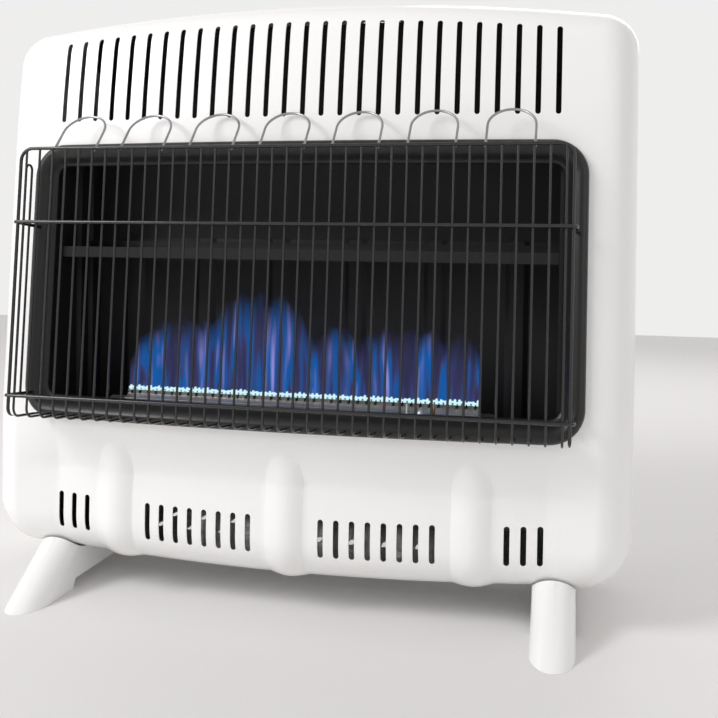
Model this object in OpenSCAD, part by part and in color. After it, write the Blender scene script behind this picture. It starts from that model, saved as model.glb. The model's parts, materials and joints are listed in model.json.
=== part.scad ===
// Vent-free blue flame gas heater with a drawn steel front, a wire guard and two feet.
// X runs to the right, Y towards the wall and Z up. The origin is on the floor, in the
// middle of the width and of the depth.

/* [Overall size] */
// Width over the front panel
overall_w = 768.4; // [740:1:800]
// Height from the floor to the middle of the arched top
overall_h = 711.2; // [700:1:740]
// Depth from the toes of the feet to the back panel
overall_d = 317.5; // [305:1:340]
// Thickness of the sheet steel
sheet_t = 1.2; // [1:0.1:2]
// How far the toes of the feet stand in front of the panel
toe_reach = 54; // [52:1:60]
// Height of the middle of the bottom edge above the floor
floor_gap = 40; // [36:1:46]

/* [Front panel] */
// Rise of the arched top edge
top_arch = 22; // [12:1:28]
// Rise of the bottom edge from its middle to its ends
bottom_bow = 12; // [6:1:14]
// How far the panel bows back from its middle to its side edges
panel_crown = 27; // [15:1:32]
// How far the top edge leans back from the foot of the opening
panel_lean = 40; // [30:1:42]
// How much further the slotted top curls back
top_curl = 10; // [6:1:12]
// Depth from the panel's face to the seam with the cabinet
panel_depth = 130; // [128:1:136]
// Radius of the rolled edge along the sides and the top
side_roll_r = 40; // [30:1:41]
// Radius of the rolled edge along the bottom
bottom_roll_r = 50; // [44:1:56]
// Radius of the two top corners
top_corner_r = 42; // [42:1:50]
// Radius of the two bottom corners
bottom_corner_r = 60; // [58:1:66]
// How far the band below the opening is drawn in
band_depth = 17; // [8:1:18]
// Width of each of the three drawn ridges
ridge_w = 46; // [36:1:52]
// Height of the ridges over the band
ridge_h = 8; // [4:0.5:9]
// Distance between the ridges
ridge_pitch = 212; // [204:0.5:216]

/* [Opening] */
// Width of the opening in the front panel
open_w = 644; // [620:1:650]
// Height of the opening
open_h = 312; // [300:1:316]
// Height of the opening's lower edge above the floor
open_z = 224; // [220:1:226]
// Radius of the opening's corners
open_r = 30; // [20:1:36]
// Overlap of the bezel on the panel
bezel_lap = 9; // [6:0.5:12]
// How far the bezel stands proud of the panel
bezel_proud = 8; // [5:0.5:10]
// Depth of the bezel's inner lip behind the panel's face
bezel_lip = 14; // [10:1:16]
// Width of the bezel's frame, from its outer edge to its lip
bezel_reach = 26; // [24:1:27]

/* [Slots] */
// Number of slots along the top
top_slots = 28; // [20:1:30]
// Distance between slots along the top
top_pitch = 22; // [18:0.5:22]
// Width of a top slot
top_slot_w = 6; // [4:0.5:8]
// Height of the foot of the top slots above the opening
top_slot_gap = 37; // [32:1:40]
// Length of the middle top slots
top_slot_l = 112; // [90:1:116]
// Distance between slots along the bottom
low_pitch = 18; // [16:0.1:19]
// Width of a bottom slot
low_slot_w = 6.4; // [4:0.2:8]
// Length of a bottom slot
low_slot_l = 44; // [36:1:46]
// Height of the foot of the bottom slots above the bottom edge
low_slot_gap = 33; // [30:1:36]
// Distance of the outer groups of bottom slots beyond the outer ridges
low_group_gap = 56; // [50:1:58]

/* [Guard] */
// Distance from the panel's face to the guard's wires
guard_gap = 42; // [38:1:46]
// Width of the guard's frame
guard_w = 633; // [620:1:636]
// Height from the bottom rod to the top rod
guard_h = 286; // [276:1:288]
// Height from the bottom rod to the middle rod
guard_mid = 200; // [180:1:210]
// Height of the bottom rod above the opening's lower edge
guard_lift = 25; // [23:1:28]
// Number of upright wires
guard_wires_n = 38; // [30:1:40]
// Diameter of the upright wires and loops
wire_d = 2.8; // [2.4:0.1:3.4]
// Diameter of the rods
rod_d = 4; // [3.6:0.1:4.6]
// Number of standing loops on the top rod
loops_n = 7; // [5:1:7]
// Wire spaces from one loop to the next
loop_step_share = 5; // [5:1:5]
// Wire spaces across a loop
loop_span_share = 3.1; // [2:0.1:3.3]
// Rise of a loop above the top rod
loop_rise = 47; // [42:1:50]
// How far a loop leans back
loop_lean = 36; // [26:1:37]

/* [Firebox] */
// Width between the side partitions
fire_w = 604; // [590:1:608]
// Distance from the panel's face to the firebox's front edge
fire_set = 33; // [32:1:36]
// Depth of the firebox
fire_d = 116; // [108:1:118]
// Height of the firebox floor above the floor
fire_floor_z = 178; // [172:1:182]
// Height of the hood above the floor
hood_z = 421; // [410:1:430]
// Height of the hood's front flange
hood_flange = 13; // [10:1:16]
// Width of the flue slot behind the hood
flue_gap = 26; // [20:1:30]
// Height of the top of the side partitions above the opening
baffle_rise = 14; // [10:1:18]

/* [Burner] */
// Length of the burner tube
burner_l = 470; // [450:1:480]
// Radius of the burner tube
burner_r = 17; // [15:0.5:18]
// Distance of the burner behind the panel's face
burner_set = 66; // [62:1:70]
// Height of the burner's ports above the floor
port_z = 246; // [242:1:248]
// Height of the port strip over the tube
port_h = 9; // [7:0.5:10]
// Width of the port strip
port_w = 12; // [10:0.5:14]
// Number of ports
ports_n = 41; // [31:1:45]

/* [Controls] */
// Width of the control tray in the top
tray_w = 120; // [114:1:124]
// Depth of the control tray, front to back
tray_d = 78; // [72:1:80]
// Depth of the tray's floor below the middle of the top
tray_drop = 43; // [41:1:46]
// Distance of the tray's middle from the heater's middle
tray_x = 262; // [255:1:264]
// Diameter of the control knob
knob_d = 44; // [40:0.5:46]
// Height of the control knob
knob_h = 19; // [18:0.5:20]
// Travel of the knob when it is pressed
knob_travel = 5; // [4:0.5:5]
// Travel of the ignitor's button
button_travel = 6; // [4:0.5:7]
// Diameter of the ignitor's button
button_d = 13; // [11:0.5:14]

/* [Gas line] */
// Radius of the female inlet port
inlet_r = 8.4; // [7:0.1:9]
// Depth of the female inlet port
inlet_depth = 16; // [12:1:18]
// Diameter of the supply tube
supply_d = 9.5; // [8:0.5:10]
// Diameter of the burner tube feed
feed_d = 8; // [6:0.5:8.5]
// Diameter of the pilot tube
pilot_d = 4; // [3:0.5:5]

/* [Wall fixing] */
// Distance between the two keyholes in the back panel
keyhole_span = 406.4; // [380:0.1:420]
// Radius of a keyhole's round entry
keyhole_r = 5.5; // [5:0.1:7]
// Width of a keyhole's neck
keyhole_neck = 5; // [4:0.1:6]
// Distance of the keyholes below the top of the arch
keyhole_drop = 76; // [70:1:84]

/* [Feet] */
// Width of a foot at the toe
foot_w = 48; // [44:1:50]
// Distance of each foot from the heater's middle
foot_x = 301; // [290:1:304]
// Height of the arch under a foot, between its pads
foot_arch = 11; // [6:1:14]
// Length of the pad under the toe
toe_pad = 95; // [70:1:110]
// Length of the pad under the heel
heel_pad = 36; // [28:1:50]

/* [Hidden] */

white = [0.93, 0.93, 0.92];
black = [0.1, 0.1, 0.1];
wire_black = [0.16, 0.16, 0.16];
zinc = [0.72, 0.73, 0.74];
steel = [0.6, 0.6, 0.6];
brass = [0.78, 0.62, 0.3];
copper = [0.72, 0.45, 0.3];

eps = 0.01;
cut = 1;
clear = 0.3;
bite = 0.15;
seat = 0.1;
fn_big = 64;
fn_small = 32;

// Main planes and levels
part_x = fire_w / 2;
part_flange = 13;
half_w = overall_w / 2;
y_face = -overall_d / 2 + toe_reach;
y_back = overall_d / 2;
y_seam = y_face + panel_depth;
z_low = floor_gap;
z_open_top = open_z + open_h;
z_fire_top = z_open_top + baffle_rise;
y_fire = y_face + fire_set;
y_fire_back = y_fire + fire_d;
lean_a = atan(panel_lean / (overall_h - open_z));

// The arched top is one large arc, and the corners are arcs tangent to it and to the sides.
arch_r = (half_w * half_w + top_arch * top_arch) / (2 * top_arch);
arch_z = overall_h - arch_r;
top_cx = half_w - top_corner_r;
top_cz = arch_z + sqrt(pow(arch_r - top_corner_r, 2) - top_cx * top_cx);
arch_a = atan2(top_cz - arch_z, top_cx);
// The bowed bottom edge is a large arc too.
bow_r = (half_w * half_w + bottom_bow * bottom_bow) / (2 * bottom_bow);
bow_z = z_low + bow_r;
low_cx = half_w - bottom_corner_r;
low_cz = bow_z - sqrt(pow(bow_r - bottom_corner_r, 2) - low_cx * low_cx);
bow_a = atan2(bow_z - low_cz, low_cx);
bow_end = bow_r * cos(bow_a);
// Height of the bottom edge at a distance x from the middle
function low_at(x) = bow_z - sqrt(bow_r * bow_r - x * x);
// Height of the arched top at a distance x from the middle
function top_at(x) = arch_z + sqrt(arch_r * arch_r - x * x);

// How finely the outline is divided
corner_n = 5;
side_n = 4;
arch_n = 16;

// The grid lines of the lower edge: they gather at the ridges.
ridge_shares = [-1, -0.7, -0.35, 0, 0.35, 0.7, 1];
plain_shares = [0.3, 0.5, 0.7];
end_shares = [0.35, 0.7, 1];
ridge_half = ridge_w / 2;
ridge_out = ridge_pitch + ridge_half;
function half_line(end) = concat(
  [for (s = ridge_shares) if (s > 0) s * ridge_half],
  [for (s = plain_shares) s * ridge_pitch],
  [for (s = ridge_shares) ridge_pitch + s * ridge_half],
  [for (s = end_shares) ridge_out + s * (end - ridge_out)]);
function full_line(end) = let (h = half_line(end), n = len(h))
  concat([for (i = [0:n - 1]) -h[n - 1 - i]], [0], h);

// A share of the way from a to b
function mix(a, b, s) = a + (b - a) * s;
// Points of a corner arc, each with its outward direction; the last one is left to the next stretch.
function corner(cx, cz, r, a0, a1) = [for (i = [0:corner_n - 1]) let (a = mix(a0, a1, i / corner_n))
  [cx + r * cos(a), cz + r * sin(a), cos(a), sin(a)]];
// Points of a straight stretch with one outward direction
function stretch(p, q, d, n) = [for (i = [0:n - 1])
  [mix(p[0], q[0], i / n), mix(p[1], q[1], i / n), d[0], d[1]]];

// The outer outline, anticlockwise from the lower left, seen from the front:
// x, z and outward direction
cabinet_line = let (low = full_line(bow_end)) concat(
  [for (i = [0:len(low) - 2]) let (x = low[i]) [x, low_at(x), x / bow_r, (low_at(x) - bow_z) / bow_r]],
  corner(low_cx, low_cz, bottom_corner_r, -bow_a, 0),
  stretch([half_w, low_cz], [half_w, top_cz], [1, 0], side_n),
  corner(top_cx, top_cz, top_corner_r, 0, arch_a),
  [for (i = [0:arch_n - 1]) let (a = mix(arch_a, 180 - arch_a, i / arch_n))
    [arch_r * cos(a), arch_z + arch_r * sin(a), cos(a), sin(a)]],
  corner(-top_cx, top_cz, top_corner_r, 180 - arch_a, 180),
  stretch([-half_w, top_cz], [-half_w, low_cz], [-1, 0], side_n),
  corner(-low_cx, low_cz, bottom_corner_r, 180, 180 + bow_a));
line_n = len(cabinet_line);

// A rounded window with the same number of points on each stretch
function window_line(w, z0, z1, r, low) = concat(
  [for (i = [0:len(low) - 2]) [low[i], z0, 0, -1]],
  corner(w / 2 - r, z0 + r, r, -90, 0),
  stretch([w / 2, z0 + r], [w / 2, z1 - r], [1, 0], side_n),
  corner(w / 2 - r, z1 - r, r, 0, 90),
  stretch([w / 2 - r, z1], [r - w / 2, z1], [0, 1], arch_n),
  corner(r - w / 2, z1 - r, r, 90, 180),
  stretch([-w / 2, z1 - r], [-w / 2, z0 + r], [-1, 0], side_n),
  corner(r - w / 2, z0 + r, r, 180, 270));
open_line = window_line(open_w, open_z, z_open_top, open_r, full_line(open_w / 2 - open_r));

// The drawn band: shares of the way up to the opening against shares of the band's depth
band_shares = [[0, 0.75], [0.3, 0.7], [0.46, 0.74], [0.56, 0.86],
  [0.61, 1], [0.66, 0.9], [0.82, 0.45], [1, 0]];
// The band fades out between these shares of the half width.
fade_shares = [0.76, 0.9];
// The ridges run up the band to their round caps, at shares of the way up to the opening.
cap_low_share = 0.62;
cap_top_share = 0.82;
// The top curls back from this share of the way between the opening and the top slots.
curl_share = 0.4;
curl_z = z_open_top + curl_share * top_slot_gap;

function band_at(x, z) = let (
    s = (z - z_low) / (open_z - z_low),
    b = lookup(s, band_shares),
    f = max(0, min(1, (fade_shares[1] - abs(x) / half_w) / (fade_shares[1] - fade_shares[0]))))
  band_depth * b * f;
function ridge_at(x, z) = let (
    s = (z - z_low) / (open_z - z_low),
    v = max(0, s - cap_low_share) / (cap_top_share - cap_low_share),
    u = min([for (i = [-1:1]) norm([(x - i * ridge_pitch) / ridge_half, v])]))
  u < 1 ? ridge_h * cos(90 * u) : 0;
// Depth of the panel's face, without the ridges
function face_at(x, z) = y_face
  + panel_crown * pow(x / half_w, 2)
  + panel_lean * max(0, z - open_z) / (overall_h - open_z)
  + top_curl * pow(max(0, z - curl_z) / (overall_h - curl_z), 2)
  + (z < open_z ? band_at(x, z) : 0);

// Radius of the rolled edge at an outline point: it grows round the bottom corners.
function roll_at(p) = mix(side_roll_r, bottom_roll_r, pow(max(0, -p[3]), 2));

// Rings of the panel's sheet, from the seam over the rolled edge to the opening
roll_n = 6;
face_shares = [0, 0.2, 0.36, 0.44, 0.52, 0.6, 0.7, 0.84, 1];
// The ridges fade round the roll to this share of their height.
ridge_foot_share = 0.25;
// A point of the roll: a is 0 on the flange and 90 on the face, t is the depth into the sheet.
function roll_point(p, a, t) = let (
    r = roll_at(p),
    d = r * (1 - cos(a)),
    x = p[0] - p[2] * d,
    z = p[1] - p[3] * d,
    h = ridge_at(x, z) * mix(ridge_foot_share, 1, sin(a)) - t)
  [x + p[2] * cos(a) * h, face_at(x, z) + r * (1 - sin(a)) - sin(a) * h, z + p[3] * cos(a) * h];
function flange_point(p, t) = [p[0] - p[2] * t, y_seam, p[1] - p[3] * t];
function face_point(p, q, s, t) = let (
    r = roll_at(p),
    x = mix(p[0] - p[2] * r, q[0], s),
    z = mix(p[1] - p[3] * r, q[1], s))
  [x, face_at(x, z) - ridge_at(x, z) + t, z];
function panel_rings(t) = concat(
  [[for (p = cabinet_line) flange_point(p, t)]],
  [for (i = [0:roll_n - 1]) [for (p = cabinet_line) roll_point(p, 90 * i / roll_n, t)]],
  [for (s = face_shares) [for (k = [0:line_n - 1]) face_point(cabinet_line[k], open_line[k], s, t)]]);

// A sheet between two sets of closed rings, the outer one and the inner one
module sheet(outer, inner) {
  rings = len(outer);
  n = len(outer[0]);
  pts = concat([for (r = outer) each r], [for (r = inner) each r]);
  base = rings * n;
  function at(side, i, k) = side * base + i * n + (k % n);
  skin = [for (i = [0:rings - 2], k = [0:n - 1], h = [0, 1])
    h == 0 ? [at(0, i, k), at(0, i, k + 1), at(0, i + 1, k)]
      : [at(0, i, k + 1), at(0, i + 1, k + 1), at(0, i + 1, k)]];
  lining = [for (i = [0:rings - 2], k = [0:n - 1], h = [0, 1])
    h == 0 ? [at(1, i, k), at(1, i + 1, k), at(1, i, k + 1)]
      : [at(1, i, k + 1), at(1, i + 1, k), at(1, i + 1, k + 1)]];
  first = [for (k = [0:n - 1], h = [0, 1])
    h == 0 ? [at(0, 0, k), at(1, 0, k), at(0, 0, k + 1)]
      : [at(0, 0, k + 1), at(1, 0, k), at(1, 0, k + 1)]];
  e = rings - 1;
  last = [for (k = [0:n - 1], h = [0, 1])
    h == 0 ? [at(0, e, k), at(0, e, k + 1), at(1, e, k)]
      : [at(0, e, k + 1), at(1, e, k + 1), at(1, e, k)]];
  polyhedron(points = pts, faces = concat(skin, lining, first, last), convexity = 8);
}

// A round-ended slot along Y, cut upwards
module long_slot(w, l, h) {
  linear_extrude(h) {
    for (s = [-1, 1]) translate([0, s * (l - w) / 2]) circle(d = w, $fn = fn_small);
    translate([-w / 2, -(l - w) / 2]) square([w, l - w]);
  }
}

// A round-ended slot in the X and Z plane, standing on z0, cut from front to back
module slot_cut(x, z0, w, l, y0, y1) {
  translate([x, y1, z0 + w / 2])
    rotate([90, 0, 0])
      linear_extrude(y1 - y0) {
        circle(d = w, $fn = fn_small);
        translate([-w / 2, 0]) square([w, l - w]);
        translate([0, l - w]) circle(d = w, $fn = fn_small);
      }
}

// The slots of the front panel
top_slot_z = z_open_top + top_slot_gap;
low_group_x = ridge_pitch + low_group_gap;
// Each group of bottom slots: its middle and its number of slots
low_groups = [[-low_group_x, 3], [-ridge_pitch / 2, 8], [ridge_pitch / 2, 8], [low_group_x, 3]];
module top_slot_cuts() {
  for (i = [0:top_slots - 1]) {
    x = (i - (top_slots - 1) / 2) * top_pitch;
    drop = top_arch * pow(x / half_w, 2);
    slot_cut(x, top_slot_z, top_slot_w, top_slot_l - drop, y_face - cut, y_seam - sheet_t);
  }
}
module low_slot_cuts() {
  for (g = low_groups, i = [0:g[1] - 1]) {
    x = g[0] + (i - (g[1] - 1) / 2) * low_pitch;
    slot_cut(x, low_at(x) + low_slot_gap, low_slot_w, low_slot_l,
      y_face - ridge_h - cut, y_face + band_depth + panel_crown + bottom_roll_r / 2);
  }
}

module front_panel() {
  color(white)
    difference() {
      sheet(panel_rings(0), panel_rings(sheet_t));
      top_slot_cuts();
      low_slot_cuts();
      panel_screw_holes(screw_r + clear);
    }
}

// The bezel's section: shares of its reach inwards against shares of how far it stands proud
bezel_shares = [[0, 0.02], [0.04, 0.62], [0.16, 1], [0.36, 1],
  [0.6, 0.5], [0.85, -0.55], [1, -1]];
bezel_w = open_w + 2 * bezel_lap;
bezel_r = open_r + bezel_lap;
bezel_n = 14;
bezel_z0 = open_z - bezel_lap;
bezel_z1 = z_open_top + bezel_lap;
bezel_half = bezel_w / 2 - bezel_r;
bezel_low = [for (i = [0:bezel_n]) mix(-bezel_half, bezel_half, i / bezel_n)];
bezel_line = window_line(bezel_w, bezel_z0, bezel_z1, bezel_r, bezel_low);
// The section's points: distance inwards and depth behind the panel's face
bezel_path = concat([for (s = bezel_shares) [s[0] * bezel_reach, -s[1] * bezel_proud]],
  [[bezel_reach, bezel_lip]]);
function unit(v) = v / norm(v);
// A folded line's normals, on its left; the points between two stretches get the mitre
function left(d) = [-d[1], d[0]];
function mitre(a, b) = (a + b) / (1 + a * b);
function normals(p) = let (n = len(p), d = [for (i = [0:n - 2]) left(unit(p[i + 1] - p[i]))])
  [for (i = [0:n - 1]) i == 0 ? d[0] : i == n - 1 ? d[n - 2] : mitre(d[i - 1], d[i])];
bezel_normals = normals(bezel_path);
bezel_back = [for (i = [0:len(bezel_path) - 1]) bezel_path[i] + bezel_normals[i] * sheet_t];
function bezel_ring(q) = [for (p = bezel_line) let (x = p[0] - p[2] * q[0], z = p[1] - p[3] * q[0])
  [x, face_at(x, z) + q[1] - clear / 2, z]];
module bezel() {
  color(black)
    sheet([for (q = bezel_path) bezel_ring(q)], [for (q = bezel_back) bezel_ring(q)]);
}
// How far the bezel stands proud at a distance d inwards from its outer edge
function proud_at(d) = bezel_proud * lookup(d / bezel_reach, bezel_shares) + clear / 2;

// The guard stands in a plane of its own, leaning with the panel; its origin is on the bottom rod.
guard_z = open_z + guard_lift;
guard_y = y_face - guard_gap;
rod_r = rod_d / 2;
wire_r = wire_d / 2;
frame_x = guard_w / 2 - rod_r;
wire_pitch = 2 * (frame_x - rod_r - wire_r - rod_d) / (guard_wires_n - 1);
guard_bend = 11;
rim_inset = bezel_reach / 4;
guard_foot = (guard_z - guard_gap * sin(lean_a) - bezel_z0 - rim_inset) / cos(lean_a);
guard_drop = guard_foot - guard_bend;
frame_bend = 14;
frame_y = rod_r - wire_r;
u_bend = 7;
rod_off = rod_r + wire_r - bite;
module guard_place() {
  translate([0, guard_y, guard_z]) rotate([-lean_a, 0, 0]) children();
}
// Depth in the guard's plane at which a member at x and height z meets the bezel, inset d from its edge
function seat_at(x, z, d) = let (
    zw = guard_z + z * cos(lean_a) - guard_gap * sin(lean_a))
  (face_at(x, zw) - proud_at(d) - guard_y - z * sin(lean_a)) / cos(lean_a);
// A quarter bend in the plane of X = 0: it starts upwards at the origin and ends along Y
module bend_back(r, d) {
  translate([0, r, 0]) rotate([90, 0, -90])
    rotate_extrude(angle = 90, $fn = fn_big) translate([r, 0]) circle(d = d, $fn = fn_small);
}
// An upright with its foot bent back to the bezel
module upright(x, d, top) {
  translate([x, 0, -guard_drop]) cylinder(d = d, h = top + guard_drop, $fn = fn_small);
  translate([x, 0, -guard_drop]) mirror([0, 0, 1]) bend_back(guard_bend, d);
  translate([x, guard_bend, -guard_foot]) rotate([-90, 0, 0])
    cylinder(d = d, h = seat_at(x, -guard_foot, rim_inset) - guard_bend - clear, $fn = fn_small);
}

module guard_wires() {
  color(wire_black) guard_place()
    for (i = [0:guard_wires_n - 1])
      upright((i - (guard_wires_n - 1) / 2) * wire_pitch, wire_d, guard_h - rod_r + bite);
}

module guard_frame() {
  color(wire_black) guard_place() translate([0, frame_y, 0]) {
    for (s = [0, 1]) mirror([s, 0, 0]) {
      upright(frame_x, rod_d, guard_h - frame_bend + eps);
      translate([frame_x - frame_bend, 0, guard_h - frame_bend]) rotate([90, 0, 0])
        rotate_extrude(angle = 90, $fn = fn_big) translate([frame_bend, 0]) circle(d = rod_d, $fn = fn_small);
      translate([-eps, 0, guard_h]) rotate([0, 90, 0])
        cylinder(d = rod_d, h = frame_x - frame_bend + eps, $fn = fn_small);
    }
  }
}

// A rod across the front of the wires, its ends turned back to the bezel
u_x = frame_x + rod_d - bite;
side_inset = bezel_w / 2 - u_x;
module u_rod(z) {
  y0 = -rod_off;
  translate([0, y0, z]) {
    translate([u_bend - u_x, 0, 0]) rotate([0, 90, 0])
      cylinder(d = rod_d, h = 2 * (u_x - u_bend), $fn = fn_small);
    for (s = [0, 1]) mirror([s, 0, 0]) {
      translate([u_x - u_bend, u_bend, 0]) rotate([0, 0, -90])
        rotate_extrude(angle = 90, $fn = fn_big) translate([u_bend, 0]) circle(d = rod_d, $fn = fn_small);
      translate([u_x, u_bend, 0]) rotate([-90, 0, 0])
        cylinder(d = rod_d, h = seat_at(u_x, z, side_inset - rod_r) - y0 - u_bend - clear, $fn = fn_small);
    }
  }
}
module guard_rods() {
  color(wire_black) guard_place() {
    u_rod(0);
    u_rod(guard_mid);
  }
}

// Standing loops on the top rod, leaning back against the panel
loop_half = loop_span_share * wire_pitch / 2;
loop_a = atan(loop_lean / loop_rise);
loop_l = norm([loop_lean, loop_rise]);
module guard_loops() {
  color(zinc) guard_place()
    for (j = [0:loops_n - 1])
      translate([(j - (loops_n - 1) / 2) * loop_step_share * wire_pitch, 0, guard_h])
        translate([0, frame_y, 0]) rotate([-loop_a, 0, 0]) translate([0, rod_off, 0]) {
          for (s = [-1, 1]) translate([s * loop_half, 0, -wire_r])
            cylinder(d = wire_d, h = loop_l - loop_half + wire_r, $fn = fn_small);
          translate([0, 0, loop_l - loop_half]) rotate([90, 0, 0])
            rotate_extrude(angle = 180, $fn = fn_big)
              translate([loop_half, 0]) circle(d = wire_d, $fn = fn_small);
        }
}

// A hairpin in each side of the guard, inside the turned ends of the rods
side_x = u_x - rod_r - wire_r + bite;
side_y = 13;
side_half = 6;
side_drop = 22;
module guard_side_wires() {
  color(wire_black) guard_place()
    for (s = [-1, 1]) translate([s * side_x, side_y + side_half, 0]) {
      for (t = [-1, 1]) translate([0, t * side_half, -rod_d])
        cylinder(d = wire_d, h = guard_h - side_drop + rod_d, $fn = fn_small);
      translate([0, 0, guard_h - side_drop]) rotate([90, 0, 90])
        rotate_extrude(angle = 180, $fn = fn_big)
          translate([side_half, 0]) circle(d = wire_d, $fn = fn_small);
    }
}

// Sheet metal: a folded line with a thickness on its left, drawn out along Z or along X
function thick(p, t) = let (nn = normals(p), n = len(p))
  concat(p, [for (i = [n - 1:-1:0]) p[i] + nn[i] * t]);
module fold_up(p, t, z0, z1) {
  translate([0, 0, z0]) linear_extrude(z1 - z0) polygon(thick(p, t));
}
module fold_across(p, t, x0, x1) {
  translate([x0, 0, 0]) rotate([90, 0, 90]) linear_extrude(x1 - x0) polygon(thick(p, t));
}

// The cabinet behind the front panel: sides and top in one sheet, with flanges turned in underneath
function inset(t) = [for (p = cabinet_line) [p[0] - p[2] * t, p[1] - p[3] * t]];
module outline_prism(t, y0, y1) {
  translate([0, y1, 0]) rotate([90, 0, 0]) linear_extrude(y1 - y0) polygon(inset(t));
}
lap = 12;
under_w = 2 * (foot_x - foot_w / 2 - clear);
back_inset = 4;
y_plate = y_back - back_inset;
grille_n = 20;
grille_w = 6;
grille_l = 70;
grille_x = -2 * top_pitch;
tray_y = (y_seam + y_plate) / 2 + sheet_t;
gas_offset = 50;
gas_x = foot_x + gas_offset;
gas_hole_r = 19;
module cabinet_shell() {
  color(white) difference() {
    union() {
      difference() {
        outline_prism(0, y_seam, y_back);
        outline_prism(sheet_t, y_seam - cut, y_back + cut);
      }
      difference() {
        outline_prism(sheet_t, y_seam - lap, y_seam + lap);
        outline_prism(2 * sheet_t, y_seam - lap - cut, y_seam + lap + cut);
      }
    }
    translate([-under_w / 2, y_seam - lap - cut, z_low - cut])
      cube([under_w, y_back - y_seam + lap + 2 * cut, bottom_bow + 2 * cut + 2 * sheet_t]);
    for (i = [0:grille_n - 1]) grille_cut(grille_x + (i - (grille_n - 1) / 2) * top_pitch);
    translate([tray_x - tray_w / 2, tray_y - tray_d / 2, overall_h - top_arch - cut])
      cube([tray_w, tray_d, top_arch + 2 * cut]);
    translate([gas_x, supply_y, 0])
      cylinder(r = gas_hole_r, h = z_low + bottom_corner_r / 2, $fn = fn_big);
    foot_screw_holes(screw_r + clear);
    tray_screw_holes(screw_r + clear);
  }
}
module grille_cut(x) {
  translate([x, tray_y, overall_h - top_arch - cut])
    long_slot(grille_w, grille_l, top_arch + 2 * cut);
}
// The back panel, set into the cabinet, with two keyholes, pressed ribs and air slots
key_z = overall_h - keyhole_drop;
key_rise = 12;
rib_w = 24;
rib_h = 3;
back_slots = 12;
back_slot_l = 40;
back_screw_shares = [-0.1, 0.4, 0.9];
module back_panel() {
  color(white) difference() {
    union() {
      outline_prism(sheet_t + clear / 2, y_plate - sheet_t, y_plate);
      difference() {
        outline_prism(sheet_t + clear / 2, y_plate - sheet_t - lap, y_plate - sheet_t);
        outline_prism(2 * sheet_t + clear / 2, y_plate - sheet_t - lap - cut, y_plate);
      }
      back_ribs_at(rib_w, sheet_t, rib_h + sheet_t);
    }
    back_ribs_at(rib_w - 2 * sheet_t, -cut, rib_h);
    for (s = [-1, 1]) translate([s * keyhole_span / 2, y_plate + cut, key_z]) rotate([90, 0, 0]) {
      cylinder(r = keyhole_r, h = sheet_t + 2 * cut, $fn = fn_big);
      linear_extrude(sheet_t + 2 * cut) {
        translate([-keyhole_neck / 2, 0]) square([keyhole_neck, key_rise]);
        translate([0, key_rise]) circle(d = keyhole_neck, $fn = fn_small);
      }
    }
    for (i = [0:back_slots - 1])
      slot_cut((i - (back_slots - 1) / 2) * 2 * low_pitch, z_pan_slots, low_slot_w, back_slot_l,
        y_plate - sheet_t - rib_h - cut, y_plate + cut);
    for (s = [-1, 1], z = back_screw_zs)
      translate([s * back_screw_x, y_plate + cut, z]) rotate([90, 0, 0])
        cylinder(r = screw_r + clear / 2, h = sheet_t + 2 * cut, $fn = fn_small);
  }
}
rib_low = fire_floor_z + rib_w;
rib_high = key_z - 2 * rib_w;
z_pan_slots = z_low + 2 * lap;
back_screw_x = part_x + part_flange / 2;
back_screw_zs = [for (s = back_screw_shares) mix(fire_floor_z, z_fire_top, s)];
// Upright ribs of a given width, from depth y0 to y1 behind the back panel's outer face
module back_ribs_at(w, y0, y1) {
  for (x = [-ridge_pitch, 0]) translate([x, y_plate - y0, 0]) rotate([90, 0, 0])
    linear_extrude(y1 - y0) translate([-w / 2, rib_low]) square([w, rib_high - rib_low]);
}

// The curved bottom pan rests on the flanges of the panel and the cabinet.
pan_w = 2 * low_cx - rib_w / 2;
pan_y0 = y_seam - lap - rib_w;
pan_y1 = y_plate - sheet_t - clear;
pan_slots = 11;
pan_n = 16;
pan_xs = [for (i = [0:pan_n]) mix(-pan_w / 2, pan_w / 2, i / pan_n)];
pan_lift = 2 * sheet_t + clear;
module bottom_pan() {
  color(zinc) difference() {
    translate([0, pan_y1, 0]) rotate([90, 0, 0]) linear_extrude(pan_y1 - pan_y0)
      polygon(concat([for (x = pan_xs) [x, low_at(x) + pan_lift]],
        [for (i = [pan_n:-1:0]) [pan_xs[i], low_at(pan_xs[i]) + pan_lift + sheet_t]]));
    for (i = [0:pan_slots - 1], r = [-1, 1])
      translate([(i - (pan_slots - 1) / 2) * 2 * top_pitch, tray_y + r * rib_w, z_low - cut])
        long_slot(grille_w + 2, rib_w, bottom_bow + 2 * cut + 2 * pan_lift);
    foot_screw_holes(screw_r + clear);
    panel_screw_holes(screw_r + clear / 2);
  }
}

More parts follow.
